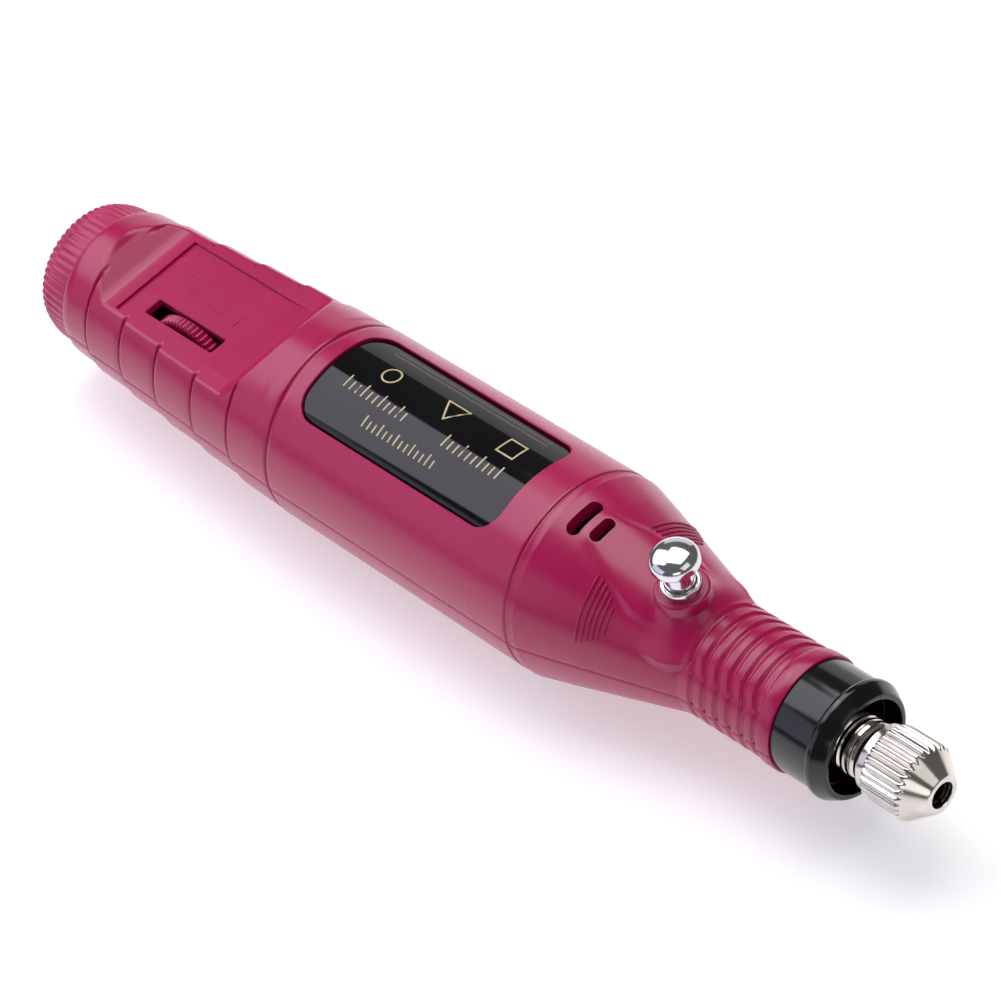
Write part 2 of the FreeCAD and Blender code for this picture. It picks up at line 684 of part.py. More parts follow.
def smoothing_capacitor():
    return rod(3.0, (-132.5, -121.5), BOARD_Y[1] + 3.0, -1.5)


def board_resistors():
    y = BOARD_Y[0] - 0.8
    return Part.makeCompound([rod(0.8, (-118.0, -113.6), y, z) for z in (-5.2, -2.6, 3.4)])


def lead(start_x, end_x, y, z, sign):
    """Wire along X that turns a quarter round towards the board at end_x."""
    face_y = BOARD_Y[0] if sign > 0 else BOARD_Y[1]
    step = math.copysign(LEAD_BEND_R, end_x - start_x)
    bend_start = V(end_x - step, y, z)
    bend_end = V(end_x, y + sign * LEAD_BEND_R, z)
    lean = 1 - math.sqrt(0.5)
    bend_middle = V(end_x - step * lean, y + sign * LEAD_BEND_R * lean, z)
    edges = [
        Part.LineSegment(V(start_x, y, z), bend_start).toShape(),
        Part.Arc(bend_start, bend_middle, bend_end).toShape(),
        Part.LineSegment(bend_end, V(end_x, face_y, z)).toShape(),
    ]
    ring = Part.Wire(Part.makeCircle(LEAD_R, V(start_x, y, z), X_AXIS))
    return Part.Wire(edges).makePipeShell([ring], True, False)


# ---- power inlet
def jack_body():
    flange = (-149.7, JACK_STOP[0])
    points = [
        (JACK_X[0], JACK_BORE_R, 0.25), (JACK_X[0], JACK_NOSE_R, 0.3), (flange[0], JACK_NOSE_R),
        (flange[0], JACK_FLANGE_R), (flange[1], JACK_FLANGE_R), (flange[1], JACK_BODY_R),
        (JACK_X[1], JACK_BODY_R, 0.5), (JACK_X[1], JACK_PIN_ROOT_R), (JACK_X[1] - JACK_WALL, JACK_PIN_ROOT_R),
        (JACK_X[1] - JACK_WALL, JACK_BORE_R),
    ]
    return turned(points)


def jack_pin():
    """Contact pin with a thicker root held in the back wall of the jack."""
    return turned([
        (JACK_PIN_TIP, 0), (JACK_PIN_TIP, JACK_PIN_R, 0.5), (JACK_X[1] - JACK_WALL, JACK_PIN_R),
        (JACK_X[1] - JACK_WALL, JACK_PIN_ROOT_R), (JACK_X[1] + 0.7, JACK_PIN_ROOT_R), (JACK_X[1] + 0.7, 0),
    ])


def jack_contacts():
    return Part.makeCompound([block((JACK_X[1], JACK_X[1] + 3), (-2.3, -0.5), zs) for zs in ((1.8, 2.2), (-2.2, -1.8))])


# ---- screws
def housing_screws():
    solids = []
    for x, y, seat in SCREWS:
        screw = fused([post(SCREW_HEAD_R, x, y, (seat - SCREW_HEAD_H, seat)), post(SCREW_R, x, y, (seat, SCREW_TOP_Z))])
        for along in (0, 1):
            sizes = ((1.1, 0.22), (0.22, 1.1))[along]
            cross = block((x - sizes[0], x + sizes[0]), (y - sizes[1], y + sizes[1]), (-BIG, seat - 0.6))
            screw = screw.cut(cross)
        solids.append(screw)
    return Part.makeCompound(solids)


def motor_sleeve():
    return tube(SLEEVE_R, MOTOR_R, SLEEVE_X)


def build():
    body = housing()
    core = armature_core()
    contact_end = JACK_X[1] + 3
    motor_end = MOTOR_CAN_REAR - 4.4
    return {
        "upper_shell": half(body, 1),
        "lower_shell": half(body, -1),
        "rear_cap": rear_cap(),
        "front_collar": front_collar(),
        "label_plate": label_plate(),
        "lock_bush": lock_bush(),
        "lock_pin": lock_pin(),
        "lock_spring": lock_spring(),
        "spindle_shaft": spindle_shaft(),
        "collet": collet(),
        "collet_nut": collet_nut(),
        "lock_collar": lock_collar(),
        "front_spacer": tube(SPACER_R, JOURNAL_R, (LOCK_COLLAR_X[1], FRONT_BEARING)),
        "rear_spacer": tube(SPACER_R, JOURNAL_R, (REAR_BEARING + BEARING_WIDTH, LOCK_COLLAR_X[0])),
        "drive_coupling": drive_coupling(),
        "front_bearing_outer": bearing_outer(FRONT_BEARING),
        "front_bearing_inner": bearing_inner(FRONT_BEARING),
        "front_bearing_balls": bearing_balls(FRONT_BEARING),
        "rear_bearing_outer": bearing_outer(REAR_BEARING),
        "rear_bearing_inner": bearing_inner(REAR_BEARING),
        "rear_bearing_balls": bearing_balls(REAR_BEARING),
        "bearing_carrier": bearing_carrier(),
        "carrier_circlip": carrier_circlip(),
        "wave_washer": wave_washer(),
        "motor_can": motor_can(),
        "motor_magnets": motor_magnets(),
        "motor_end_bell": motor_end_bell(),
        "motor_front_bush": motor_bush((MOTOR_FRONT - 1.4, MOTOR_BOSS_FRONT)),
        "motor_rear_bush": motor_bush((MOTOR_CAN_REAR - 2.5, MOTOR_CAN_REAR + 0.8)),
        "motor_brushes": motor_brushes(),
        "motor_terminals": motor_terminals(),
        "motor_shaft": rod(MOTOR_SHAFT_R, (MOTOR_CAN_REAR - 2.9, SPINDLE_REAR)),
        "armature_core": core,
        "armature_windings": armature_windings(core),
        "commutator": commutator(),
        "motor_sleeve": motor_sleeve(),
        "control_board": block(BOARD_X, BOARD_Y, BOARD_Z),
        "potentiometer_body": potentiometer_body(),
        "dial_shaft": dial_shaft(),
        "speed_wheel": speed_wheel(),
        "power_transistor": power_transistor(),
        "smoothing_capacitor": smoothing_capacitor(),
        "board_resistors": board_resistors(),
        "jack_body": jack_body(),
        "jack_pin": jack_pin(),
        "jack_contacts": jack_contacts(),
        "motor_lead_red": lead(motor_end, -109.6, 5.0, 0.0, -1),
        "motor_lead_black": lead(motor_end, -110.0, -5.0, 0.0, 1),
        "supply_lead_red": lead(contact_end, -131.6, -1.4, 2.0, 1),
        "supply_lead_black": lead(contact_end, -131.6, -1.4, -2.0, 1),
        "housing_screws": housing_screws(),
    }


def main():
    os.makedirs("parts", exist_ok=True)
    for name, shape in build().items():
        if not shape.isValid():
            raise SystemExit(name + " is not a valid shape")
        shape.exportStep("parts/" + name + ".step")
        print(name, len(shape.Solids), "solids", round(shape.Volume, 1), "mm3")


main()
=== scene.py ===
"""Looks of the pen-shaped electric nail grinder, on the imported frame. Lengths below are millimetres."""
import math
import bmesh
import bpy
import numpy as np
from mathutils import Matrix, Vector


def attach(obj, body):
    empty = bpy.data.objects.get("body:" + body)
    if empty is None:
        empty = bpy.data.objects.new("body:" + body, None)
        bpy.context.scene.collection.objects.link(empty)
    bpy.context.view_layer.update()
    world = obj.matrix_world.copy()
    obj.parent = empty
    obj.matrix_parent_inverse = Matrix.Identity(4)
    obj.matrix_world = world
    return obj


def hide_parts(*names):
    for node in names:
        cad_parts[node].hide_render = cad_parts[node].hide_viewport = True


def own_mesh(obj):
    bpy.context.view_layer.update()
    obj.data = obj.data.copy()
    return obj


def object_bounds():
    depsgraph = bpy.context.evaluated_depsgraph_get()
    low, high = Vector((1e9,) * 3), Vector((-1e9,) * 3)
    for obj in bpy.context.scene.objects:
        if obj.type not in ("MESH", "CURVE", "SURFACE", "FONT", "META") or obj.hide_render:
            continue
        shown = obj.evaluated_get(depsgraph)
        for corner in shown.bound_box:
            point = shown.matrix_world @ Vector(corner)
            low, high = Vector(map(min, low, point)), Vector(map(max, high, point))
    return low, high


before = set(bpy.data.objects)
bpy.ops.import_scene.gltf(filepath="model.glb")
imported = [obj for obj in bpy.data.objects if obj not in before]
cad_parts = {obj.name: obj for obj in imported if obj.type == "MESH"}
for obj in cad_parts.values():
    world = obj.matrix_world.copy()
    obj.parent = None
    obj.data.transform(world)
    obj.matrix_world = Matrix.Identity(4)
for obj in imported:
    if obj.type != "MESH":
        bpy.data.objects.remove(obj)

cad_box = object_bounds()
MM = 0.001

# ---- sizes, the same as the solids they stand for
HOUSING_REAR, WAIST, SHOULDER, GRIP_REAR, FLANGE_REAR = -145.3, -101.2, -57.0, -34.5, -21.7
COLLAR_REAR, CAP_REAR, PIN_X = -19.3, -151.9, -38.3
BAND_GROOVES = (-140.0, -132.5, -124.9, -117.0, -109.3)
PANEL_Z, FIELD_Z, PANEL_FRONT, WALL = 7.9, 7.5, -104, 1.5
BARREL_R, GRIP_R, FLANGE_R = 13.64, 7.5, 7.75
GRIP_FIRST, GRIP_PITCH, GRIP_GROOVES, GRIP_WAVE = -33.2, 2.05, 6, 1.02
GRIP_GROOVE_HALF, GRIP_GROOVE_DEPTH = 0.52, 0.34
PARTING_DEPTH, PARTING_SHOULDER = 0.13, 0.03
BOSS_R, BOSS_TOP = 3.5, 10.3
SCREW_WELL_R, SCREW_SEATS = 2.15, ((-60.6, 8.5, -8.2), (-60.6, -8.5, -8.2), (-104.6, 0.0, -11.0))
WHEEL_CENTRE, WHEEL_Y = (-125.15, -0.35), (-4.70, -2.95)
LABEL_FLOOR_R, LABEL_TOP_R = 12.75, 13.1
NUT_FLUTES, NUT_R, NUT_FLUTE_DEPTH = 30, 4.95, 0.42
CAP_RIBS, CAP_RIB_DEPTH = 56, 0.26
WHEEL_RIBS, WHEEL_R, WHEEL_NOTCH_DEPTH = 60, 8.0, 0.45
THREAD_TURNS, THREAD_R, THREAD_BAR_R, THREAD_LENGTH, THREAD_START = 12.6, 3.36, 0.39, 9.45, -13.25
SPRING_TURNS, SPRING_R, SPRING_WIRE_R, SPRING_LENGTH, SPRING_START_Z = 4.0, 1.6, 0.175, 3.34, 5.18
CROSS_HOLE_R = 1.08
FIN_BAR_R, FIN_LIFT = 0.17, 0.06
# ---- stage: the floor, the painted glow on the paper round the object, and the point that most lights aim at
FLOOR_HALF, FLOOR_GAP = 900, 0.02
GLOW_INNER, GLOW_OUTER, GLOW_STRENGTH = 90, 250, 0.45
MIDDLE = (-75, 0, 0)


# ---- nodes and materials
WAVE_PERIOD = 0.314     # width of one band of a wave texture at scale 1


def add(tree, kind, inputs=(), **settings):
    """A node with its settings, and its inputs as values or as links from other nodes' sockets."""
    node = tree.nodes.new(kind)
    for key, value in settings.items():
        setattr(node, key, value)
    for key, value in dict(inputs).items():
        if isinstance(value, bpy.types.NodeSocket):
            tree.links.new(value, node.inputs[key])
        else:
            node.inputs[key].default_value = value
    return node


def colour(code):
    """An sRGB hex value as linear RGBA."""
    parts = [int(code[i:i + 2], 16) / 255 for i in (0, 2, 4)]
    return tuple(c / 12.92 if c <= 0.04045 else ((c + 0.055) / 1.055) ** 2.4 for c in parts) + (1.0,)


def finish(name, shades, rough, metal=0.0, ior=1.5, cloud=6.0, grain=0.4, relief=0.02, stretch=(1, 1, 1),
           lines=None, deep=None):
    """A surface with two shades that drift over `cloud` mm, and a grain `grain` mm wide and `relief` mm high.

    rough is (lowest, highest). stretch is the grain's frequency along each axis, so a number under 1 draws it
    out, as extruding does. lines is (axis, pitch mm, depth mm) for tool marks, sheets, windings or tracks.
    deep is how much light goes under the surface.
    """
    material = bpy.data.materials.new(name)
    material.use_nodes = True
    tree = material.node_tree
    shader = tree.nodes["Principled BSDF"]
    place = add(tree, "ShaderNodeTexCoord").outputs["Object"]
    drift = add(tree, "ShaderNodeTexNoise", {"Vector": place, "Scale": 1000 / cloud, "Detail": 3.0})
    grained = add(tree, "ShaderNodeMapping", {"Vector": place, "Scale": stretch})
    fine = add(tree, "ShaderNodeTexNoise", {
        "Vector": grained.outputs[0], "Scale": 1000 / grain, "Detail": 2.0})
    ramp = add(tree, "ShaderNodeValToRGB", {"Fac": drift.outputs["Fac"]})
    ramp.color_ramp.elements[0].position = 0.35
    ramp.color_ramp.elements[0].color = colour(shades[0])
    ramp.color_ramp.elements[1].position = 0.65
    ramp.color_ramp.elements[1].color = colour(shades[1])
    mixed = add(tree, "ShaderNodeMath", {0: drift.outputs["Fac"], 1: fine.outputs["Fac"]}, operation="ADD")
    spread = add(tree, "ShaderNodeMapRange", {
        "Value": mixed.outputs[0], "From Min": 0.7, "From Max": 1.3, "To Min": rough[0], "To Max": rough[1]})
    bump = add(tree, "ShaderNodeBump", {
        "Height": fine.outputs["Fac"], "Distance": relief * MM, "Strength": 1.0})
    if lines:
        axis, pitch, depth = lines
        marks = add(tree, "ShaderNodeTexWave", {
            "Vector": place, "Scale": WAVE_PERIOD / (pitch * MM), "Distortion": 0.6, "Detail": 1.0},
            bands_direction=axis)
        bump = add(tree, "ShaderNodeBump", {
            "Height": marks.outputs["Fac"], "Distance": depth * MM, "Normal": bump.outputs[0],
            "Strength": 1.0})
    tree.links.new(ramp.outputs["Color"], shader.inputs["Base Color"])
    tree.links.new(spread.outputs[0], shader.inputs["Roughness"])
    tree.links.new(bump.outputs[0], shader.inputs["Normal"])
    shader.inputs["Metallic"].default_value = metal
    if not metal:
        shader.inputs["IOR"].default_value = ior
    if deep:
        shader.inputs["Subsurface Weight"].default_value = deep
        shader.inputs["Subsurface Radius"].default_value = (1.0, 0.25, 0.35)
        shader.inputs["Subsurface Scale"].default_value = 0.8 * MM
    return material


# moulded ABS: dyed through, polished mould, so a smooth gloss with the slight waviness of a moulding
abs_pink = finish(
    "moulded_abs_magenta", ("A50B4A", "AD0D4F"), (0.24, 0.28),
    ior=1.53, cloud=30, grain=2.4, relief=0.0008)
# the cap comes from another mould with a duller face
abs_cap = finish(
    "moulded_abs_cap", ("A8154F", "B01B56"), (0.32, 0.40),
    ior=1.53, cloud=14, grain=1.2, relief=0.002)
# gloss black ABS: nearly a mirror at grazing angles, with fine swirls from handling
abs_black = finish(
    "moulded_abs_black", ("070708", "0C0C0E"), (0.10, 0.17),
    ior=1.53, cloud=8, grain=0.9, relief=0.003)
# polycarbonate label plate: flat, glassy, printed from behind
label_black = finish(
    "polished_label_black", ("050506", "08080A"), (0.05, 0.09),
    ior=1.46, cloud=15, grain=2.5, relief=0.002)
# screen-printed ink: matt, slightly uneven
ink_gold = finish(
    "printed_ink_gold", ("BBA983", "CBBA96"), (0.45, 0.60),
    ior=1.5, cloud=2, grain=0.2, relief=0.004)
# the same ink printed thin, so the black shows through
ink_dim = finish(
    "printed_ink_thin", ("5A5248", "665C50"), (0.35, 0.5),
    ior=1.5, cloud=2, grain=0.2, relief=0.003)
# chromium plate on turned brass: mirror with faint ripples
chrome = finish(
    "chromium_plate", ("D6D6D8", "E0E0E2"), (0.09, 0.14),
    metal=1.0, cloud=4, grain=0.8, relief=0.0015)
# bright nickel plate: warmer and softer than chrome, with tool marks drawn wider than real under it
nickel = finish(
    "bright_nickel_plate", ("CFC8BF", "DDD7CF"), (0.10, 0.18),
    metal=1.0, cloud=3, grain=0.25, relief=0.003, lines=("X", 0.12, 0.0015))
# hardened spring steel blackened in oil: brownish black with a dull shine
spring_steel = finish(
    "blackened_spring_steel", ("4A4440", "5E5853"), (0.25, 0.38),
    metal=1.0, cloud=2, grain=0.15, relief=0.003)
# ground bearing steel: bright and cold, with fine rings round the axis
bearing_steel = finish(
    "ground_bearing_steel", ("B4B6B9", "C4C6C9"), (0.12, 0.20),
    metal=1.0, cloud=4, grain=0.12, relief=0.002, lines=("X", 0.10, 0.001))
# free-cutting steel as turned: grey, with tool marks drawn wider than real so that they show
turned_steel = finish(
    "turned_free_cutting_steel", ("9A9B9E", "ABADB0"), (0.22, 0.34),
    metal=1.0, cloud=5, grain=0.2, relief=0.003, lines=("X", 0.15, 0.003))
# bare turned aluminium: pale satin, with tool marks drawn wider than real
aluminium = finish(
    "turned_aluminium", ("B9BBBE", "C9CBCE"), (0.25, 0.36),
    metal=1.0, cloud=6, grain=0.2, relief=0.003, lines=("X", 0.2, 0.004))
# bright zinc plate on pressed steel: bluish and faintly mottled
zinc = finish(
    "zinc_plated_steel", ("A4A8AC", "BFC3C4"), (0.28, 0.42),
    metal=1.0, cloud=3, grain=0.3, relief=0.004)
# stack of 0.5 mm electrical steel sheets: dull, with a line at every sheet
core_steel = finish(
    "laminated_core_steel", ("5D5E60", "6C6D70"), (0.35, 0.5),
    metal=1.0, cloud=5, grain=0.3, relief=0.004, lines=("X", 0.5, 0.03))
# sintered bronze, soaked in oil: a dull, pitted brown gold
bronze = finish(
    "sintered_bronze", ("8A6634", "9E7840"), (0.42, 0.58),
    metal=1.0, cloud=2, grain=0.18, relief=0.02)
# brass strip as stamped: yellow, with the grain of the rolling
brass = finish(
    "stamped_brass", ("C7A24E", "D4B263"), (0.22, 0.34),
    metal=1.0, cloud=3, grain=0.3, relief=0.004, stretch=(1, 8, 1))
# turned copper: reddish satin, darkened by the brushes
copper = finish(
    "turned_copper", ("B8693F", "C9784C"), (0.25, 0.38),
    metal=1.0, cloud=2, grain=0.2, relief=0.004, lines=("X", 0.2, 0.004))
# enamelled magnet wire, wound in layers of 0.25 mm wire
winding = finish(
    "enamelled_copper_wire", ("8E3F1A", "A64F24"), (0.22, 0.32),
    metal=0.6, cloud=2, grain=0.3, relief=0.006, lines=("Z", 0.25, 0.06))
# sintered ferrite: dark grey and matt like stone
ferrite = finish(
    "sintered_ferrite", ("2B2B2E", "36363A"), (0.5, 0.65),
    ior=1.7, cloud=3, grain=0.25, relief=0.015)
# pressed carbon: black and dull
carbon = finish(
    "pressed_carbon", ("161616", "202020"), (0.5, 0.68),
    ior=1.6, cloud=1.5, grain=0.15, relief=0.012)
# undyed nylon: milky, because light goes a little way in
nylon_natural = finish(
    "moulded_nylon_natural", ("D5CFBF", "DDD8CA"), (0.4, 0.5),
    ior=1.53, cloud=6, grain=0.6, relief=0.008, deep=0.15)
# black nylon: satin, never glossy
nylon_black = finish(
    "moulded_nylon_black", ("121213", "19191A"), (0.4, 0.52),
    ior=1.53, cloud=6, grain=0.6, relief=0.01)
# the potentiometer's dyed nylon case: satin
nylon_blue = finish(
    "moulded_nylon_blue", ("1D3F78", "244A88"), (0.4, 0.5),
    ior=1.53, cloud=5, grain=0.5, relief=0.008)
# soft rubber sleeve: black and matt
rubber = finish(
    "moulded_rubber", ("141415", "1C1C1D"), (0.6, 0.75),
    ior=1.52, cloud=4, grain=0.35, relief=0.02)
# green solder mask: glossy, with the copper tracks raised under it
solder_mask = finish(
    "solder_mask_laminate", ("14532A", "1B6434"), (0.25, 0.38),
    ior=1.5, cloud=4, grain=0.5, relief=0.01, lines=("X", 1.2, 0.02))
# the transistor's moulded epoxy: black and dull
epoxy = finish(
    "moulded_epoxy", ("161618", "1F1F22"), (0.45, 0.6),
    ior=1.55, cloud=3, grain=0.2, relief=0.012)
# the capacitor's shrunk sleeve: dark blue and glossy
shrink_sleeve = finish(
    "printed_shrink_sleeve", ("151B3A", "1C244A"), (0.18, 0.28),
    ior=1.5, cloud=4, grain=1.0, relief=0.006)
# the resistors' dipped lacquer: tan and lumpy
lacquer = finish(
    "resistor_lacquer", ("B79C72", "C6AC84"), (0.3, 0.42),
    ior=1.5, cloud=1.2, grain=0.4, relief=0.02)
# extruded PVC insulation: satin, with faint draw lines along the wire
pvc_red = finish(
    "extruded_pvc_red", ("A3171A", "B11E20"), (0.3, 0.4),
    ior=1.53, cloud=3, grain=0.5, relief=0.008, stretch=(0.2, 1, 1))
pvc_black = finish(
    "extruded_pvc_black", ("111112", "1A1A1B"), (0.3, 0.4),
    ior=1.53, cloud=3, grain=0.5, relief=0.008, stretch=(0.2, 1, 1))

CAD_FINISH = {
    "collet": spring_steel, "carrier_circlip": spring_steel, "wave_washer": spring_steel,
    "lock_collar": turned_steel, "front_spacer": turned_steel, "rear_spacer": turned_steel,
    "motor_shaft": turned_steel, "drive_coupling": nylon_black, "front_bearing_outer": bearing_steel,
    "front_bearing_inner": bearing_steel, "front_bearing_balls": bearing_steel,
    "rear_bearing_outer": bearing_steel, "rear_bearing_inner": bearing_steel,
    "rear_bearing_balls": bearing_steel, "bearing_carrier": aluminium, "motor_can": zinc,
    "motor_magnets": ferrite, "motor_end_bell": nylon_natural, "motor_front_bush": bronze,
    "motor_rear_bush": bronze, "motor_brushes": carbon, "motor_terminals": brass,
    "armature_core": core_steel, "armature_windings": winding, "commutator": copper,
    "motor_sleeve": rubber, "control_board": solder_mask, "potentiometer_body": nylon_blue,
    "dial_shaft": nylon_natural, "power_transistor": epoxy, "smoothing_capacitor": shrink_sleeve,
    "board_resistors": lacquer, "jack_body": abs_black, "jack_pin": brass, "jack_contacts": brass,
    "motor_lead_red": pvc_red, "motor_lead_black": pvc_black, "supply_lead_red": pvc_red,
    "supply_lead_black": pvc_black, "housing_screws": zinc,
}
for node_name, material in CAD_FINISH.items():
    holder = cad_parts[node_name]
    if not holder.material_slots:
        holder.data.materials.append(material)
    for material_slot in holder.material_slots:
        material_slot.material = material


# ---- meshes
def shape(name, vertices, faces, material=None):
    """A mesh object from millimetre points, with its faces turned outwards."""
    mesh = bpy.data.meshes.new(name)
    mesh.from_pydata([tuple(c * MM for c in p) for p in vertices], [], faces)
    work = bmesh.new()
    work.from_mesh(mesh)
    bmesh.ops.remove_doubles(work, verts=work.verts, dist=1e-7)
    bmesh.ops.recalc_face_normals(work, faces=work.faces)
    work.to_mesh(mesh)
    work.free()
    if material:
        mesh.materials.append(material)
    made = bpy.data.objects.new(name, mesh)
    bpy.context.collection.objects.link(made)
    return made


def baked(made, name=None):
    """The object's modifiers turned into plain mesh."""
    result = bpy.data.meshes.new_from_object(made.evaluated_get(bpy.context.evaluated_depsgraph_get()))
    made.modifiers.clear()
    made.data = result
    made.name = result.name = name or made.name
    return made


def combine(made, others, operation):
    """Adds or removes other solids, and deletes them."""
    for other in others:
        step = made.modifiers.new("combine", "BOOLEAN")
        step.object = other
        step.operation = operation
        step.solver = "EXACT"
    baked(made)
    for other in others:
        bpy.data.objects.remove(other)
    return made


def settle(made, body, nodes=(), edge=32):
    """Smooth shading up to an edge angle in degrees, then the piece is handed to the frame."""
    made.data.shade_smooth()
    made.data.set_sharp_from_angle(angle=math.radians(edge))
    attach(made, body)
    if nodes:
        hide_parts(*nodes)
    return made


def filleted(points, steps=5):
    """An outline through (u, v) points, with an arc where a point carries a third number, its radius."""
    out = []
    for i, point in enumerate(points):
        here = Vector(point[:2])
        if len(point) == 2 or not 0 < i < len(points) - 1:
            out.append(tuple(here))
            continue
        a = (Vector(points[i - 1][:2]) - here).normalized()
        b = (Vector(points[i + 1][:2]) - here).normalized()
        half_turn = 0.5 * (math.pi - a.angle(b))
        reach = point[2] * math.tan(half_turn)
        centre = here + (a + b).normalized() * point[2] / math.cos(half_turn)
        start, end = here + a * reach - centre, here + b * reach - centre
        for k in range(steps + 1):
            share = k / steps
            arm = start.slerp(end, share) * point[2] if start.angle(end) > 1e-4 else start
            out.append(tuple(centre + arm))
    return out


def turned(name, outline, material=None, segments=128, upright=None):
    """A body of revolution from an outline: (x, r) about the spindle, or (r, z) about an upright post."""
    count = len(outline)
    radius = 1 if upright is None else 0
    vertices, faces = [], []
    for k in range(segments):
        angle = 2 * math.pi * k / segments
        s, c = math.sin(angle), math.cos(angle)
        for p in outline:
            if upright is None:
                vertices.append((p[0], p[1] * s, p[1] * c))
            else:
                vertices.append((upright[0] + p[0] * c, upright[1] + p[0] * s, p[1]))
    for k in range(segments):
        following = (k + 1) % segments
        for i in range(count):
            j = (i + 1) % count
            if abs(outline[i][radius]) < 1e-6 and abs(outline[j][radius]) < 1e-6:
                continue
            faces.append([k * count + i, k * count + j, following * count + j, following * count + i])
    made = shape(name, vertices, faces, material)
    work = bmesh.new()
    work.from_mesh(made.data)
    bmesh.ops.dissolve_degenerate(work, edges=work.edges, dist=1e-7)
    bmesh.ops.recalc_face_normals(work, faces=work.faces)
    work.to_mesh(made.data)
    work.free()
    return made


def side_prism(name, outline, y0, y1):
    """A prism along Y from (x, z) points."""
    count = len(outline)
    vertices = [(x, y0, z) for x, z in outline] + [(x, y1, z) for x, z in outline]
    faces = [[i, (i + 1) % count, count + (i + 1) % count, count + i] for i in range(count)]
    return shape(name, vertices, faces + [list(range(count)), list(range(count, 2 * count))])


def plan_body(name, xs, ys, corner, levels, material=None, across=18):
    """A rounded rectangle in plan, with levels of (grow, height, curved).

    A curved level lies on a cylinder about the spindle, whose radius is its height.
    """
    middle_x, middle_y = 0.5 * (xs[0] + xs[1]), 0.5 * (ys[0] + ys[1])
    half_x, half_y = 0.5 * (xs[1] - xs[0]), 0.5 * (ys[1] - ys[0])
    turns = [math.pi / 2 * k / 8 for k in range(9)]
    flat = half_y - corner
    rows = [(-flat, -math.cos(t), math.sin(t)) for t in turns]
    inner = across if flat > 0.5 else 0
    rows += [(-flat + 2 * flat * k / (inner + 1), 0.0, 1.0) for k in range(1, inner + 1)]
    rows += [(flat, math.sin(t), math.cos(t)) for t in turns]
    vertices, faces = [], []
    count = len(rows)
    for grow, height, curved in levels:
        radius = corner + grow
        for base, along_y, along_x in rows:
            y = middle_y + base + radius * along_y
            x = half_x - corner + radius * along_x
            z = math.sqrt(max(height * height - y * y, 0.0)) if curved else height
            vertices.append((middle_x - x, y, z))
            vertices.append((middle_x + x, y, z))
    size = 2 * count
    for level in range(len(levels) - 1):
        a, b = level * size, (level + 1) * size
        for k in range(count - 1):
            for end in (0, 1):
                i, j = 2 * k + end, 2 * (k + 1) + end
                faces.append([a + i, a + j, b + j, b + i])
        faces.append([a, a + 1, b + 1, b])
        faces.append([a + size - 2, a + size - 1, b + size - 1, b + size - 2])
    for start in (0, (len(levels) - 1) * size):
        for k in range(count - 1):
            faces.append([start + 2 * k, start + 2 * k + 1, start + 2 * k + 3, start + 2 * k + 2])
    return shape(name, vertices, faces, material)


# ---- geometry node trees
def new_tree(name, inputs):
    """A geometry node tree with its named inputs, and their sockets."""
    tree = bpy.data.node_groups.new(name, "GeometryNodeTree")
    tree.interface.new_socket("Geometry", in_out="INPUT", socket_type="NodeSocketGeometry")
    for label, kind in inputs:
        tree.interface.new_socket(label, in_out="INPUT", socket_type="NodeSocket" + kind)
    tree.interface.new_socket("Geometry", in_out="OUTPUT", socket_type="NodeSocketGeometry")
    return tree, add(tree, "NodeGroupInput").outputs


def end_tree(tree, geometry, material):
    """Realizes the copies, closes the joints between them and sets the finish."""
    real = add(tree, "GeometryNodeRealizeInstances", {"Geometry": geometry})
    welded = add(tree, "GeometryNodeMergeByDistance", {"Geometry": real.outputs[0], "Distance": 2e-6})
    done = add(tree, "GeometryNodeSetMaterial", {"Geometry": welded.outputs[0], "Material": material})
    add(tree, "NodeGroupOutput", {"Geometry": done.outputs[0]})
    return tree


def ring_tree():
    """Copies of one sector, all round an axis, welded into one body."""
    tree, given = new_tree("ring_of_sectors", (("Count", "Int"), ("Axis", "Vector"), ("Centre", "Vector"),
                                               ("Finish", "Material")))
    line = add(tree, "GeometryNodeMeshLine", {"Count": given["Count"], "Start Location": given["Centre"],
                                              "Offset": (0.0, 0.0, 0.0)})
    index = add(tree, "GeometryNodeInputIndex")
    share = add(tree, "ShaderNodeMath", {0: index.outputs[0], 1: given["Count"]}, operation="DIVIDE")
    angle = add(tree, "ShaderNodeMath", {0: share.outputs[0], 1: 2 * math.pi}, operation="MULTIPLY")
    turn = add(tree, "ShaderNodeVectorMath", {0: given["Axis"], "Scale": angle.outputs[0]}, operation="SCALE")
    copies = add(tree, "GeometryNodeInstanceOnPoints", {
        "Points": line.outputs[0], "Instance": given["Geometry"], "Rotation": turn.outputs[0]})
    return end_tree(tree, copies.outputs[0], given["Finish"])


def coil_tree():
    """A round or ridged bar wound into a helix along X: a thread's crests, or a spring."""
    tree, given = new_tree("wound_bar", (("Turns", "Float"), ("Radius", "Float"), ("Length", "Float"),
                                         ("Bar", "Float"), ("Sides", "Int"), ("Start", "Vector"),
                                         ("Turn", "Vector"), ("Finish", "Material")))
    helix = add(tree, "GeometryNodeCurveSpiral", {
        "Resolution": 40, "Rotations": given["Turns"], "Start Radius": given["Radius"],
        "End Radius": given["Radius"], "Height": given["Length"]})
    section = add(tree, "GeometryNodeCurvePrimitiveCircle", {
        "Resolution": given["Sides"], "Radius": given["Bar"]})
    bar = add(tree, "GeometryNodeCurveToMesh", {
        "Curve": helix.outputs[0], "Profile Curve": section.outputs[0], "Fill Caps": True})
    placed = add(tree, "GeometryNodeTransform", {"Geometry": bar.outputs[0], "Translation": given["Start"],
                                                 "Rotation": given["Turn"]})
    return end_tree(tree, placed.outputs[0], given["Finish"])


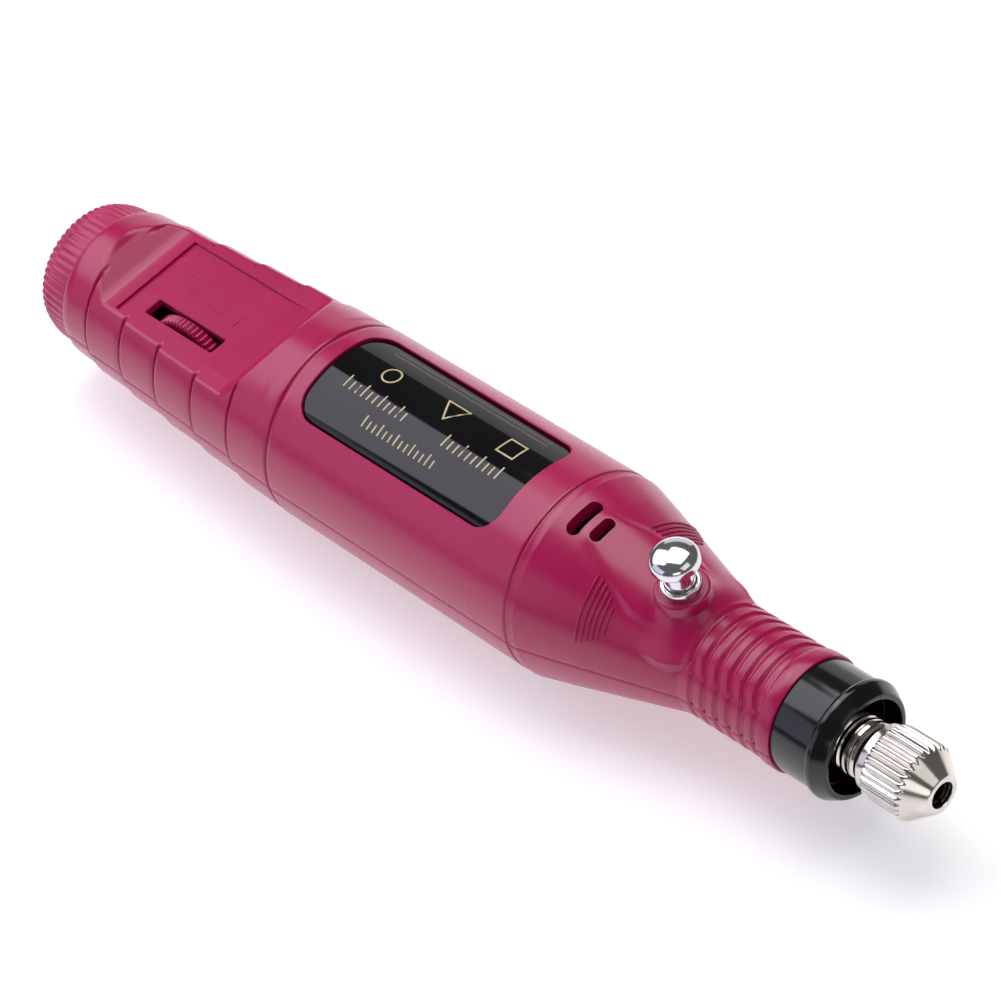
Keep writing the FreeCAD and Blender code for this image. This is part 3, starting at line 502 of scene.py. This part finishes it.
def ridges_tree():
    """Thin raised arcs round the spindle axis, one for each of the given points.

    A point's x is the arc's place and its y the radius. Its attributes "from" and "sweep" are angles.
    """
    tree, given = new_tree("raised_arcs", (("Bar", "Float"), ("Finish", "Material")))
    start = add(tree, "GeometryNodeInputNamedAttribute", {"Name": "from"}, data_type="FLOAT")
    sweep = add(tree, "GeometryNodeInputNamedAttribute", {"Name": "sweep"}, data_type="FLOAT")
    place = add(tree, "ShaderNodeSeparateXYZ", {0: add(tree, "GeometryNodeInputPosition").outputs[0]})
    arc = add(tree, "GeometryNodeCurvePrimitiveLine", {"Start": (0.0, 0.0, 0.0), "End": (1.0, 0.0, 0.0)})
    arc = add(tree, "GeometryNodeResampleCurve", {"Curve": arc.outputs[0], "Count": 24})
    moved = add(tree, "GeometryNodeStoreNamedAttribute", {
        "Geometry": given["Geometry"], "Name": "place_x", "Value": place.outputs["X"]}, data_type="FLOAT")
    moved = add(tree, "GeometryNodeStoreNamedAttribute", {
        "Geometry": moved.outputs[0], "Name": "place_r", "Value": place.outputs["Y"]}, data_type="FLOAT")
    copies = add(tree, "GeometryNodeInstanceOnPoints", {
        "Points": moved.outputs[0], "Instance": arc.outputs[0]})
    real = add(tree, "GeometryNodeRealizeInstances", {"Geometry": copies.outputs[0]})
    along = add(tree, "GeometryNodeSplineParameter").outputs["Factor"]
    read = {key: add(tree, "GeometryNodeInputNamedAttribute", {"Name": key}, data_type="FLOAT").outputs[0]
            for key in ("place_x", "place_r")}
    turned_by = add(tree, "ShaderNodeMath", {0: along, 1: sweep.outputs[0], 2: start.outputs[0]},
                    operation="MULTIPLY_ADD")
    sine = add(tree, "ShaderNodeMath", {0: turned_by.outputs[0]}, operation="SINE")
    cosine = add(tree, "ShaderNodeMath", {0: turned_by.outputs[0]}, operation="COSINE")
    y = add(tree, "ShaderNodeMath", {0: sine.outputs[0], 1: read["place_r"]}, operation="MULTIPLY")
    z = add(tree, "ShaderNodeMath", {0: cosine.outputs[0], 1: read["place_r"]}, operation="MULTIPLY")
    spot = add(tree, "ShaderNodeCombineXYZ", {"X": read["place_x"], "Y": y.outputs[0], "Z": z.outputs[0]})
    bent = add(tree, "GeometryNodeSetPosition", {"Geometry": real.outputs[0], "Position": spot.outputs[0]})
    section = add(tree, "GeometryNodeCurvePrimitiveCircle", {"Resolution": 8, "Radius": given["Bar"]})
    bar = add(tree, "GeometryNodeCurveToMesh", {"Curve": bent.outputs[0], "Profile Curve": section.outputs[0],
                                                "Fill Caps": True})
    return end_tree(tree, bar.outputs[0], given["Finish"])


def grown(made, tree, values, name=None):
    """Runs a node tree on an object, with its inputs set by the sockets' identifiers."""
    step = made.modifiers.new("grow", "NODES")
    step.node_group = tree
    for item in tree.interface.items_tree:
        if item.in_out == "INPUT" and item.name in values:
            step[item.identifier] = values[item.name]
    made.update_tag()
    bpy.context.view_layer.update()
    return baked(made, name)


RINGS, COILS, RIDGES = ring_tree(), coil_tree(), ridges_tree()


# ---- the two shells
def smooth_low(a, b, blend):
    """The lower of two heights, with a fillet where they cross."""
    h = np.clip(0.5 + 0.5 * (b - a) / blend, 0, 1)
    return b + (a - b) * h - blend * h * (1 - h)


def smooth_high(a, b, blend):
    """The higher of two heights, with a fillet where they cross."""
    return -smooth_low(-a, -b, blend)


def step_up(value):
    """0 to 1, eased at both ends."""
    value = np.clip(value, 0, 1)
    return value * value * (3 - 2 * value)


def band_radius(x):
    """Radius of the tapered rear of the barrel."""
    return 10.65 + (x - HOUSING_REAR) / (WAIST - HOUSING_REAR) * 2.95


def soft_groove(x, rear_r, front_r, half=0.5, depth=0.42):
    """Points across a ring groove with rounded edges."""
    floor = min(rear_r, front_r) - depth
    shares = ((-1.0, 0.0), (-0.82, 0.06), (-0.6, 0.45), (-0.35, 0.9), (0.0, 1.0), (0.35, 0.9), (0.6, 0.45),
              (0.82, 0.06), (1.0, 0.0))
    return [(x + half * u, (rear_r if u <= 0 else front_r) * (1 - s) + floor * s) for u, s in shares]


def housing_profile():
    """Outline of the housing's outside as (x, radius), from the spigot's end to the front."""
    points = [(HOUSING_REAR, 8.2), (HOUSING_REAR, 10.35), (HOUSING_REAR + 0.12, 10.52),
              (HOUSING_REAR + 0.4, 10.64)]
    for x in BAND_GROOVES:
        points += soft_groove(x, band_radius(x) - 0.16, band_radius(x) + 0.18)
    points += soft_groove(WAIST, 13.42, 13.50, 0.42, 0.35)
    points += [(-100.3, 13.50), (SHOULDER - 0.9, BARREL_R)]
    points += soft_groove(SHOULDER - 0.35, BARREL_R, 13.60, 0.3, 0.22)
    points += filleted([(SHOULDER, 13.58), (-55.9, 13.58, 0.45), (-51.5, 12.42, 4.0), (-33.9, 7.36)], 7)[:-1]
    points += [(GRIP_REAR + 0.1, 7.56), (GRIP_REAR + 0.35, GRIP_R), (FLANGE_REAR, GRIP_R),
               (FLANGE_REAR + 0.2, 7.56), (FLANGE_REAR + 0.4, 7.72), (FLANGE_REAR + 0.6, FLANGE_R),
               (COLLAR_REAR - 0.2, FLANGE_R), (COLLAR_REAR, 7.65)]
    return np.array(points)


def panel_height(x):
    """Height of the flat control panel with its steep rear scoop and its front ramp."""
    line = np.array(filleted([(-160, 60), (-142.2, 12.0), (-141.3, 10.4, 0.9), (-137.6, PANEL_Z, 2.6),
                              (-111.2, PANEL_Z, 2.4), (-105.8, 14.3), (-90, 60)], 8))
    return np.interp(x, line[:, 0], line[:, 1])


def outer_skin(x, angle, radius):
    """(y, z) of the housing's outside at stations x and angles from the top."""
    side = np.abs(angle)
    # wavy grip: the grooves step forward by half a pitch between the top and each side
    shift = GRIP_WAVE * step_up((side - 0.55) / 0.5)
    phase = (x - GRIP_FIRST - shift) / GRIP_PITCH
    near = np.abs(phase - np.round(phase)) * GRIP_PITCH
    inside = (np.round(phase) >= 0) & (np.round(phase) <= GRIP_GROOVES - 1)
    groove = GRIP_GROOVE_DEPTH * np.clip(1 - (near / GRIP_GROOVE_HALF) ** 2, 0, 1) ** 1.2
    radius = radius - np.where(inside, groove, 0.0)
    # raised spine along the top of the nose that widens into the boss
    spine = np.interp(x, (-53, -51.9, -49.6, -47.35, -45.5, -42),
                      np.radians((7, 11.4, 14.8, 20.5, 24.5, 34)))
    fade = step_up((x + 54.0) / 3.0) * step_up((-38.0 - x) / 3.0)
    radius = radius + 0.26 * fade * step_up((spine - side) * radius / 1.1 + 0.5)
    y, z = radius * np.sin(angle), radius * np.cos(angle)
    upper = np.cos(angle) > 0
    z = np.where(upper & (x < -100), smooth_low(z, panel_height(x), 0.35), z)
    # the boss flares into the spine and the neck
    away = np.hypot(x - PIN_X, y)
    beyond = np.clip(away - 3.0, 0, None)
    flare = 9.35 - 1.5 * beyond + 0.10 * beyond ** 2
    z = np.where(upper & (away < 7.5), smooth_high(z, flare, 1.3), z)
    return y, z


def inner_radius(x):
    """Radius of the hollow."""
    line = np.array([(HOUSING_REAR, 6.6), (-144.7, 6.6), (-143.1, 9.15), (-106.2, 11.75), (-101.2, 11.95),
                     (-58, 11.95), (-51, 10.6), (-35.5, 6.25), (-20.0, 6.25), (-20.0 + 0.02, 4.4),
                     (COLLAR_REAR, 4.4)])
    return np.interp(x, line[:, 0], line[:, 1])


def shell(name, top):
    """Half of the housing: an outer skin that follows the panel's edge, a hollow, and flat parting faces."""
    profile = housing_profile()
    # stations along the axis: the outline's own, with finer ones at the panel, spine, boss and grip
    fine = [np.arange(-142.6, -137.0, 0.3), np.arange(-112.6, -105.0, 0.3), np.arange(-52.6, -44, 0.35),
            np.arange(-44, -33.5, 0.24), np.arange(-34.2, FLANGE_REAR, 0.14), np.arange(-145, -101, 1.1),
            np.arange(-100, -58, 4.0)]
    stations = np.unique(np.round(np.concatenate(fine), 4))
    own = profile[2:, 0]
    stations = stations[np.array([np.min(np.abs(own - s)) > 0.06 for s in stations])]
    stations = np.sort(np.concatenate([stations, np.unique(np.round(own, 4))]))
    radii = np.interp(stations, profile[1:, 0], profile[1:, 1])
    # round each station, one column follows the panel's edge, and the last ones dip into the parting line
    edge = np.arccos(np.clip(panel_height(stations) / radii, -1, 1))
    elsewhere = np.interp(stations, (PANEL_FRONT, -98, -56, -44, -30), (0.72, 0.8, 0.8, 0.72, 0.75))
    follow = np.where(stations < PANEL_FRONT, np.maximum(edge, 0.5), elsewhere)
    arc = 0.12 / radii
    inner = np.sin(np.linspace(0, 1, 27) * math.pi / 2)
    outer = np.linspace(0, 1, 32) ** 1.35
    rows = []
    for i in range(len(stations)):
        near_edge = follow[i] * inner
        beyond = follow[i] + (math.pi / 2 - 3.2 * arc[i] - follow[i]) * outer[1:]
        quarter = np.concatenate([near_edge, beyond, [math.pi / 2 - 1.4 * arc[i], math.pi / 2]])
        rows.append(np.concatenate([-quarter[:0:-1], quarter]))
    angles = np.array(rows)
    if not top:
        angles = math.pi - angles
    xs = np.repeat(stations[:, None], angles.shape[1], 1)
    rs = np.repeat(radii[:, None], angles.shape[1], 1)
    rs[:, [0, -1]] -= PARTING_DEPTH
    rs[:, [1, -2]] -= PARTING_SHOULDER
    ys, zs = outer_skin(xs, angles, rs)
    ys[:, [0, -1]] = rs[:, [0, -1]] * np.sign(np.sin(angles[:, [0, -1]]))
    zs[:, [0, -1]] = 0.0
    count = angles.shape[1]
    vertices = [tuple(p) for p in np.stack([xs, ys, zs], -1).reshape(-1, 3)]
    faces = []
    for i in range(len(stations) - 1):
        for j in range(count - 1):
            faces.append([i * count + j, i * count + j + 1, (i + 1) * count + j + 1, (i + 1) * count + j])
    base = len(vertices)
    hollow = np.unique(np.concatenate([
        [HOUSING_REAR, -144.7, -143.1, -101.2, -58, -51, -35.5, -20.0, -19.98, COLLAR_REAR],
        np.linspace(-142.5, -103.5, 27), np.linspace(-98, -60, 5)]))
    hollow_r = inner_radius(hollow)
    lean = np.linspace(-math.pi / 2, math.pi / 2, 49)
    for x, r in zip(hollow, hollow_r):
        for a in lean:
            y, z = r * math.sin(a), r * math.cos(a)
            if top:
                z = min(z, float(panel_height(x)) - WALL)
            vertices.append((x, y, max(z, 0.0) if top else -max(z, 0.0)))
    across = len(lean)
    for i in range(len(hollow) - 1):
        for j in range(across - 1):
            a = base + i * across + j
            faces.append([a, a + across, a + across + 1, a + 1])
    # parting faces, then the two end faces
    last, deep = len(stations) - 1, len(hollow) - 1
    for column, inner_column in ((0, 0), (count - 1, across - 1)):
        outside = [i * count + column for i in range(last + 1)]
        faces.append(outside + [base + i * across + inner_column for i in range(deep, -1, -1)])
    for row, inner_row in ((0, 0), (last, deep)):
        outside = [row * count + j for j in range(count)]
        faces.append(outside + [base + inner_row * across + j for j in range(across - 1, -1, -1)])
    return shape(name, vertices, faces, abs_pink)


def post(radius, x, y, z0, z1, segments=48):
    """An upright round cutter."""
    return turned("cutter", [(0, z0), (radius, z0), (radius, z1), (0, z1)], None, segments, (x, y))


upper = shell("upper_shell_skin", True)
rim = turned("boss_rim", filleted([
    (0, 6.4), (BOSS_R + 0.05, 6.4), (BOSS_R, BOSS_TOP, 0.45), (0, BOSS_TOP)], 5), None, 96, (PIN_X, 0))
combine(upper, [rim], "UNION")
cutters = [
    side_prism("field", [(-135.3, 9), (-135.3, FIELD_Z), (-120.0, FIELD_Z), (-117.5, 7.53), (-115.5, 7.62),
                         (-113.8, 7.76), (-112.0, 7.97), (-111.5, 9)], -7.4, 6.9),
    plan_body("slot", (-131.7, -118.6), (-5.4, -2.7), 0.3,
              [(0, 2.0, False), (0, 7.36, False), (0.14, 7.5, False), (0.14, 7.8, False)]),
    plan_body("pocket", (-98.5, -63.0), (-8.05, 8.05), 3.0,
              [(0, LABEL_FLOOR_R, True), (0, 13.40, True), (0.2, 13.62, True), (0.2, 14.8, True)]),
    plan_body("vent_long", (-54.5, -52.7), (-3.1, 2.5), 0.9, [(0, 7, False), (0, 17, False)]),
    plan_body("vent_short", (-51.6, -50.0), (-2.1, 1.7), 0.8, [(0, 7, False), (0, 17, False)]),
    turned("boss_bore", [(0, 4.5), (2.9, 4.5), (2.9, 9.2), (2.5, 9.2), (2.5, 12.5), (0, 12.5)],
           None, 64, (PIN_X, 0)),
]
combine(upper, cutters, "DIFFERENCE")
settle(upper, "housing", ("upper_shell",), 28)

lower = shell("lower_shell_skin", False)
combine(lower, [post(SCREW_WELL_R, x, y, -15.0, seat) for x, y, seat in SCREW_SEATS], "DIFFERENCE")
settle(lower, "housing", ("lower_shell",), 28)


# ---- ribbed and fluted pieces: one sector, repeated round the axis
def sector(name, outline, count, relief, axis="X", columns=8):
    """One sector of a body of revolution; relief(along, radius, share of sector) gives the radius there."""
    vertices, faces = [], []
    size = len(outline)
    for k in range(columns + 1):
        share = k / columns
        angle = 2 * math.pi / count * (share - 0.5)
        for i, (along, radius) in enumerate(outline):
            r = relief(along, radius, share) if radius > 0 else radius
            across, up = r * math.sin(angle), r * math.cos(angle)
            vertices.append((along, across, up) if axis == "X" else (across, along, up))
    for k in range(columns):
        for i in range(size):
            j = (i + 1) % size
            if outline[i][1] < 1e-6 and outline[j][1] < 1e-6:
                continue
            faces.append([k * size + i, k * size + j, (k + 1) * size + j, (k + 1) * size + i])
    mesh = bpy.data.meshes.new(name)
    mesh.from_pydata([tuple(c * MM for c in p) for p in vertices], [], faces)
    made = bpy.data.objects.new(name, mesh)
    bpy.context.collection.objects.link(made)
    return made


def ring_of(name, outline, count, relief, material, axis="X", centre=(0, 0, 0), columns=8):
    """A closed body of `count` equal sectors."""
    made = grown(sector(name, outline, count, relief, axis, columns), RINGS, {
        "Count": count, "Axis": (1.0, 0.0, 0.0) if axis == "X" else (0.0, 1.0, 0.0),
        "Centre": tuple(c * MM for c in centre), "Finish": material}, name)
    work = bmesh.new()
    work.from_mesh(made.data)
    bmesh.ops.remove_doubles(work, verts=work.verts, dist=2e-6)
    bmesh.ops.recalc_face_normals(work, faces=work.faces)
    work.to_mesh(made.data)
    work.free()
    return made


def hump(share, sharp=1.0):
    """0 at a sector's edges and 1 at its middle."""
    return (0.5 - 0.5 * math.cos(2 * math.pi * share)) ** sharp


cap_outline = filleted([
    (HOUSING_REAR, 8.28), (HOUSING_REAR, 10.1, 0.25), (-148.9, 9.98), (-149.6, 9.86, 0.8), (-151.2, 9.3, 1.0),
    (CAP_REAR, 8.1, 0.7), (CAP_REAR, 4.25), (CAP_REAR + 0.2, 4.05), (-150.3, 4.05), (-150.3, 8.28)], 4)


def cap_rib(along, radius, share):
    """Ribs stand between shallow hollows that fade out at the cap's front edge and on its end face."""
    if radius < 7.2:
        return radius
    reach = step_up((HOUSING_REAR - 0.5 - along) / 0.5) * step_up((radius - 8.0) / 1.2)
    return radius - CAP_RIB_DEPTH * float(reach) * (1 - hump(share, 0.7)) - 0.02


cap = ring_of("rear_cap_ribbed", cap_outline, CAP_RIBS, cap_rib, abs_cap)
settle(cap, "housing", ("rear_cap",), 40)

nut_outline = [
    (-8.7, 3.8), (-8.7, 4.28), (-8.62, 4.35), (-7.62, 4.35), (-7.5, 4.38), (-7.49, 4.78), (-7.3, NUT_R),
    (-6.0, NUT_R), (-4.5, NUT_R), (-3.2, NUT_R), (-2.6, NUT_R), (-2.3, 4.94), (-2.1, 4.88), (-1.85, 4.72),
    (-1.6, 4.53), (-1.35, 4.33), (-0.9, 3.95), (-0.3, 3.46), (0.3, 2.95), (0.72, 2.62), (0.82, 2.52),
    (0.88, 2.42), (0.9, 2.3), (0.9, 1.85), (0.84, 1.75), (0.7, 1.70), (0.25, 1.70), (-2.0, 2.62),
    (-3.3, 2.62), (-3.3, 3.8)]


def flute(along, radius, share):
    """Flutes keep a straight floor, so they run out to a point where the cone dips below it."""
    if radius < 4.36 or along > -1.2:
        return radius
    return min(radius, NUT_R - NUT_FLUTE_DEPTH * (1 - hump(share, 0.85)) ** 1.4)


nut = ring_of("collet_nut_fluted", nut_outline, NUT_FLUTES, flute, nickel, columns=12)
settle(nut, "nut", ("collet_nut",), 38)

# half of the wheel's outline as (depth from its face, radius): hub, recess, then the rounded rim
wheel_half = [(0, 1.5), (0, 3.0), (0.45, 3.05), (0.45, 6.75), (0, 6.85), (0, 7.45), (0.06, 7.56), (0.22, 7.9),
              (0.35, WHEEL_R)]
wheel_outline = [(WHEEL_Y[0] + depth, radius) for depth, radius in wheel_half]
wheel_outline += [(WHEEL_Y[1] - depth, radius) for depth, radius in wheel_half[::-1]]


def wheel_notch(along, radius, share):
    """Notches across the rim, with the ribs standing between them."""
    return radius if radius < 7.5 else min(radius, WHEEL_R - WHEEL_NOTCH_DEPTH * (1 - hump(share, 0.8)))


wheel = ring_of("speed_wheel_notched", wheel_outline, WHEEL_RIBS, wheel_notch, abs_pink, "Y",
                (WHEEL_CENTRE[0], 0, WHEEL_CENTRE[1]), 6)
settle(wheel, "speed_dial", ("speed_wheel",), 40)

# ---- collar, label, lock pin and bush
collar = turned("front_collar_turned", filleted([
    (COLLAR_REAR, 6.05), (COLLAR_REAR, 7.42, 0.12), (-13.75, 7.42, 0.1), (-13.6, 7.62, 0.1),
    (-13.3, 7.8, 0.2), (-12.75, 7.8, 0.5), (-11.0, 6.85, 0.45), (-11.0, 6.2, 0.15), (-13.8, 6.16),
    (-13.8, 6.05)], 5), abs_black, 160)
settle(collar, "housing", ("front_collar",), 35)

label = plan_body("label_plate_printed", (-98.38, -63.12), (-7.93, 7.93), 2.88,
                  [(0, LABEL_FLOOR_R + 0.01, True), (0, LABEL_TOP_R - 0.08, True),
                   (-0.08, LABEL_TOP_R, True)], label_black)
settle(label, "housing", ("label_plate",), 30)

bush = turned("lock_bush_turned", filleted([
    (2.35, 6.3), (2.9, 6.3), (2.9, 9.2), (2.5, 9.2), (2.5, 11.3, 0.22), (1.97, 11.3, 0.1), (1.97, 9.6),
    (2.35, 9.6)], 4), chrome, 96, (PIN_X, 0))
settle(bush, "housing", ("lock_bush",), 35)

# the button: a turned-under lip and a dome
head = [(2.62 + 0.5 * math.sin(t), 14.62 - 0.32 * math.cos(t)) for t in np.linspace(0, math.pi / 2, 6)]
head += [(3.12 * math.cos(t), 15.2 + 1.7 * math.sin(t)) for t in np.linspace(0.0, math.pi / 2, 22)]
pin = turned("lock_pin_turned", filleted([
    (0, 4.0), (1.0, 4.0, 0.3), (1.0, 8.7), (2.25, 8.7), (2.25, 9.5), (1.9, 9.5), (1.9, 14.3),
    (2.55, 14.3)], 4) + head[:-1] + [(0, 16.9)], chrome, 96, (PIN_X, 0))
settle(pin, "lock_pin", ("lock_pin",), 40)

# ---- spindle with its thread, and the lock spring's coil
spindle = turned("spindle_turned", filleted([
    (-4.9, 2.16), (-3.6, 2.75), (-3.6, 3.3, 0.2), (-13.5, 3.3), (-21.4, 3.3), (-21.4, 2.5), (-59.5, 2.5, 0.4),
    (-59.5, 0), (-17.6, 0), (-16.8, 2.16)], 4), nickel, 96)
cross = turned("cutter", [(-6, 0), (-6, CROSS_HOLE_R), (6, CROSS_HOLE_R), (6, 0)], None, 40)
cross.data.transform(Matrix.Translation((PIN_X * MM, 0, 0)) @ Matrix.Rotation(math.pi / 2, 4, "Z"))
combine(spindle, [post(CROSS_HOLE_R, PIN_X, 0, -6, 6, 40), cross], "DIFFERENCE")
settle(spindle, "spindle", ("spindle_shaft",), 35)
thread = bpy.data.objects.new("spindle_thread", bpy.data.meshes.new("start"))
bpy.context.collection.objects.link(thread)
grown(thread, COILS, {
    "Turns": THREAD_TURNS, "Radius": THREAD_R * MM, "Length": THREAD_LENGTH * MM,
    "Bar": THREAD_BAR_R * MM, "Sides": 6, "Start": (THREAD_START * MM, 0.0, 0.0),
    "Turn": (0.0, math.pi / 2, 0.0), "Finish": nickel})
settle(thread, "spindle", (), 35)
spring = bpy.data.objects.new("lock_spring_coil", bpy.data.meshes.new("start"))
bpy.context.collection.objects.link(spring)
grown(spring, COILS, {
    "Turns": SPRING_TURNS, "Radius": SPRING_R * MM, "Length": SPRING_LENGTH * MM,
    "Bar": SPRING_WIRE_R * MM, "Sides": 10, "Start": (PIN_X * MM, 0.0, SPRING_START_Z * MM),
    "Turn": (0.0, 0.0, 0.0), "Finish": spring_steel})
settle(spring, "housing", ("lock_spring",), 60)
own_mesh(spring)

# ---- raised moulded lines on both cheeks of the nose
fins = bpy.data.meshes.new("nose_fins")
fin_rows = []
for cheek in (-1, 1):
    # place along the axis, and the line's two ends in degrees from the top
    for x, low, high in ((-47.6, 24, 68.5), (-46.87, 24.5, 67), (-46.2, 26, 65), (-45.55, 29, 63),
                         (-44.9, 31.5, 60), (-44.22, 36, 56)):
        fin_rows.append((x, cheek * math.radians(low), cheek * math.radians(high - low)))
profile_line = housing_profile()
fins.from_pydata([
    (x * MM, float(np.interp(x, profile_line[1:, 0], profile_line[1:, 1]) + FIN_LIFT) * MM, 0.0)
    for x, _, _ in fin_rows], [], [])
for key, column in (("from", 1), ("sweep", 2)):
    layer = fins.attributes.new(key, "FLOAT", "POINT")
    layer.data.foreach_set("value", [row[column] for row in fin_rows])
fin_piece = bpy.data.objects.new("nose_fins", fins)
bpy.context.collection.objects.link(fin_piece)
grown(fin_piece, RIDGES, {"Bar": FIN_BAR_R * MM, "Finish": abs_pink})
settle(fin_piece, "housing", (), 60)

# ---- printed marks on the label and raised marks on the panel
def strokes(name, lines, width, low, high, curved, material):
    """Square-ended strokes through (x, y) points; low and high are heights, or radii if curved."""
    vertices, faces = [], []
    for line in lines:
        for a, b in zip(line[:-1], line[1:]):
            start, end = Vector(a), Vector(b)
            along = (end - start).normalized() * width / 2
            across = Vector((-along.y, along.x))
            pieces = max(1, int(abs(end.y - start.y) / 0.5))
            for k in range(pieces):
                p, q = start.lerp(end, k / pieces), start.lerp(end, (k + 1) / pieces)
                if k == 0:
                    p -= along
                if k == pieces - 1:
                    q += along
                base = len(vertices)
                for height in (low, high):
                    for spot in (p - across, q - across, q + across, p + across):
                        z = math.sqrt(height ** 2 - spot.y ** 2) if curved else height
                        vertices.append((spot.x, spot.y, z))
                faces += [[base, base + 1, base + 2, base + 3], [base + 4, base + 5, base + 6, base + 7]]
                faces += [[base + i, base + (i + 1) % 4, base + 4 + (i + 1) % 4, base + 4 + i]
                          for i in range(4)]
    return shape(name, vertices, faces, material)


def ticks(x0, x1, y, tall, pitch=1.05):
    """A row of plain graduation strokes, every third one longer."""
    count = int((x1 - x0) / pitch)
    return [[(x0 + pitch * k, y - tall / 2), (x0 + pitch * k, y + tall * (0.5 if k % 3 == 0 else 0.15))]
            for k in range(count + 1)]


ring = [(-90.6 + 1.25 * math.cos(t), 2.5 + 1.25 * math.sin(t)) for t in np.linspace(0, 2 * math.pi, 33)]
triangle = [(-81.6, 3.9), (-77.8, 3.9), (-79.7, 1.0), (-81.6, 3.9), (-77.8, 3.9)]
square = [(-70.4, 1.2), (-67.6, 1.2), (-67.6, 3.8), (-70.4, 3.8), (-70.4, 1.2), (-67.6, 1.2)]
printed = [ring, triangle, square]
printed += ticks(-94.6, -83.6, -1.3, 1.7) + ticks(-76.8, -66.6, -1.3, 1.7)
printed += ticks(-88.4, -76.0, -4.5, 1.3, 0.95)
marks = strokes("label_marks", printed, 0.24, LABEL_TOP_R - 0.02, LABEL_TOP_R + 0.015, True, ink_gold)
settle(marks, "housing", (), 30)
rules = [[(-94.0, 5.9), (-66.6, 5.9)], [(-94.0, 6.7), (-66.6, 6.7)]]
rules = strokes("label_rule", rules, 0.2, LABEL_TOP_R - 0.02, LABEL_TOP_R + 0.012, True, ink_dim)
settle(rules, "housing", (), 30)
wedge = [(-130.2, 0.8), (-119.6, -0.4), (-119.6, 1.3)]
wedge = strokes("speed_wedge", [wedge], 0.14, FIELD_Z - 0.05, FIELD_Z + 0.07, False, abs_pink)
settle(wedge, "housing", (), 30)

# ---- floor, light and camera
floor_z = cad_box[0][2] / MM - FLOOR_GAP
floor = shape("floor", [
    (-FLOOR_HALF, -FLOOR_HALF, floor_z), (FLOOR_HALF, -FLOOR_HALF, floor_z),
    (FLOOR_HALF, FLOOR_HALF, floor_z), (-FLOOR_HALF, FLOOR_HALF, floor_z)], [[0, 1, 2, 3]])
# matt white paper with a painted glow: the paper itself emits light, strongest under the object and fading to
# none further out, which lifts the shadow and the underside
paper = bpy.data.materials.new("white_paper_painted_glow")
paper.use_nodes = True
paper_tree = paper.node_tree
paper_shader = paper_tree.nodes["Principled BSDF"]
paper_shader.inputs["Base Color"].default_value = colour("E4E4E4")
paper_shader.inputs["Roughness"].default_value = 0.9
paper_shader.inputs["Emission Color"].default_value = colour("F8F6FA")
on_paper = add(paper_tree, "ShaderNodeTexCoord").outputs["Object"]
from_middle = add(paper_tree, "ShaderNodeVectorMath", {0: on_paper, 1: (-MIDDLE[0] * MM, 0.0, 0.0)},
                  operation="ADD")
distance = add(paper_tree, "ShaderNodeVectorMath", {0: from_middle.outputs[0]}, operation="LENGTH")
# painted glow: emission strength on the paper, highest near the object's middle and falling to zero by
# GLOW_OUTER
glow = add(paper_tree, "ShaderNodeMapRange", {
    "Value": distance.outputs["Value"], "From Min": GLOW_INNER * MM, "From Max": GLOW_OUTER * MM,
    "To Min": GLOW_STRENGTH, "To Max": 0.0})
paper_tree.links.new(glow.outputs[0], paper_shader.inputs["Emission Strength"])
floor.data.materials.append(paper)

world = bpy.data.worlds.new("studio")
world.use_nodes = True
world.node_tree.nodes["Background"].inputs["Color"].default_value = colour("F2F4F8")
# the room behind the paper is pale, but sheds little light
seen = add(world.node_tree, "ShaderNodeLightPath").outputs["Is Camera Ray"]
room_light = add(world.node_tree, "ShaderNodeMapRange", {"Value": seen, "To Min": 0.15, "To Max": 0.92})
world.node_tree.links.new(room_light.outputs[0], world.node_tree.nodes["Background"].inputs["Strength"])
bpy.context.scene.world = world
bpy.context.scene.view_settings.view_transform = "Standard"


def softbox(name, spot, aim, size, power, tint="FFFFFF"):
    """A rectangular light at spot, turned towards aim; size is (width, height) and power is in watts."""
    light = bpy.data.lights.new(name, "AREA")
    light.shape = "RECTANGLE"
    light.size, light.size_y = size[0] * MM, size[1] * MM
    light.energy, light.color = power, colour(tint)[:3]
    holder = bpy.data.objects.new(name, light)
    holder.location = Vector(spot) * MM
    holder.rotation_euler = (Vector(aim) - Vector(spot)).to_track_quat("-Z", "Y").to_euler()
    bpy.context.collection.objects.link(holder)


softbox("top_softbox", (-150, 200, 620), MIDDLE, (560, 560), 2.8)
softbox("left_softbox", (-430, -60, 400), MIDDLE, (420, 500), 1.6, "F2F0FF")
softbox("near_softbox", (-330, -480, 230), MIDDLE, (560, 360), 0.6, "DCE0FF")
softbox("back_softbox", (-430, 470, 110), MIDDLE, (500, 240), 0.25)
softbox("front_softbox", (330, 60, 330), (-20, 0, 0), (280, 260), 0.2)
softbox("side_softbox", (360, -330, 190), (-40, 0, 0), (260, 200), 0.22)

# a long lens from above the nose, on the near side
camera = bpy.data.cameras.new("camera")
camera.lens, camera.sensor_width = 161.73, 36.0
camera.clip_start, camera.clip_end = 0.01, 10.0
eye = bpy.data.objects.new("camera", camera)
eye_place = Vector((254.4, -200.2, 400.0))
right, up = Vector((0.68502, 0.69743, -0.21065)), Vector((-0.42492, 0.61737, 0.66209))
forward = Vector((-0.59177, 0.36403, -0.71926))
turn = Matrix((right, up, -forward)).transposed().to_4x4()
eye.matrix_world = Matrix.Translation(eye_place * MM) @ turn
bpy.context.collection.objects.link(eye)
bpy.context.scene.camera = eye
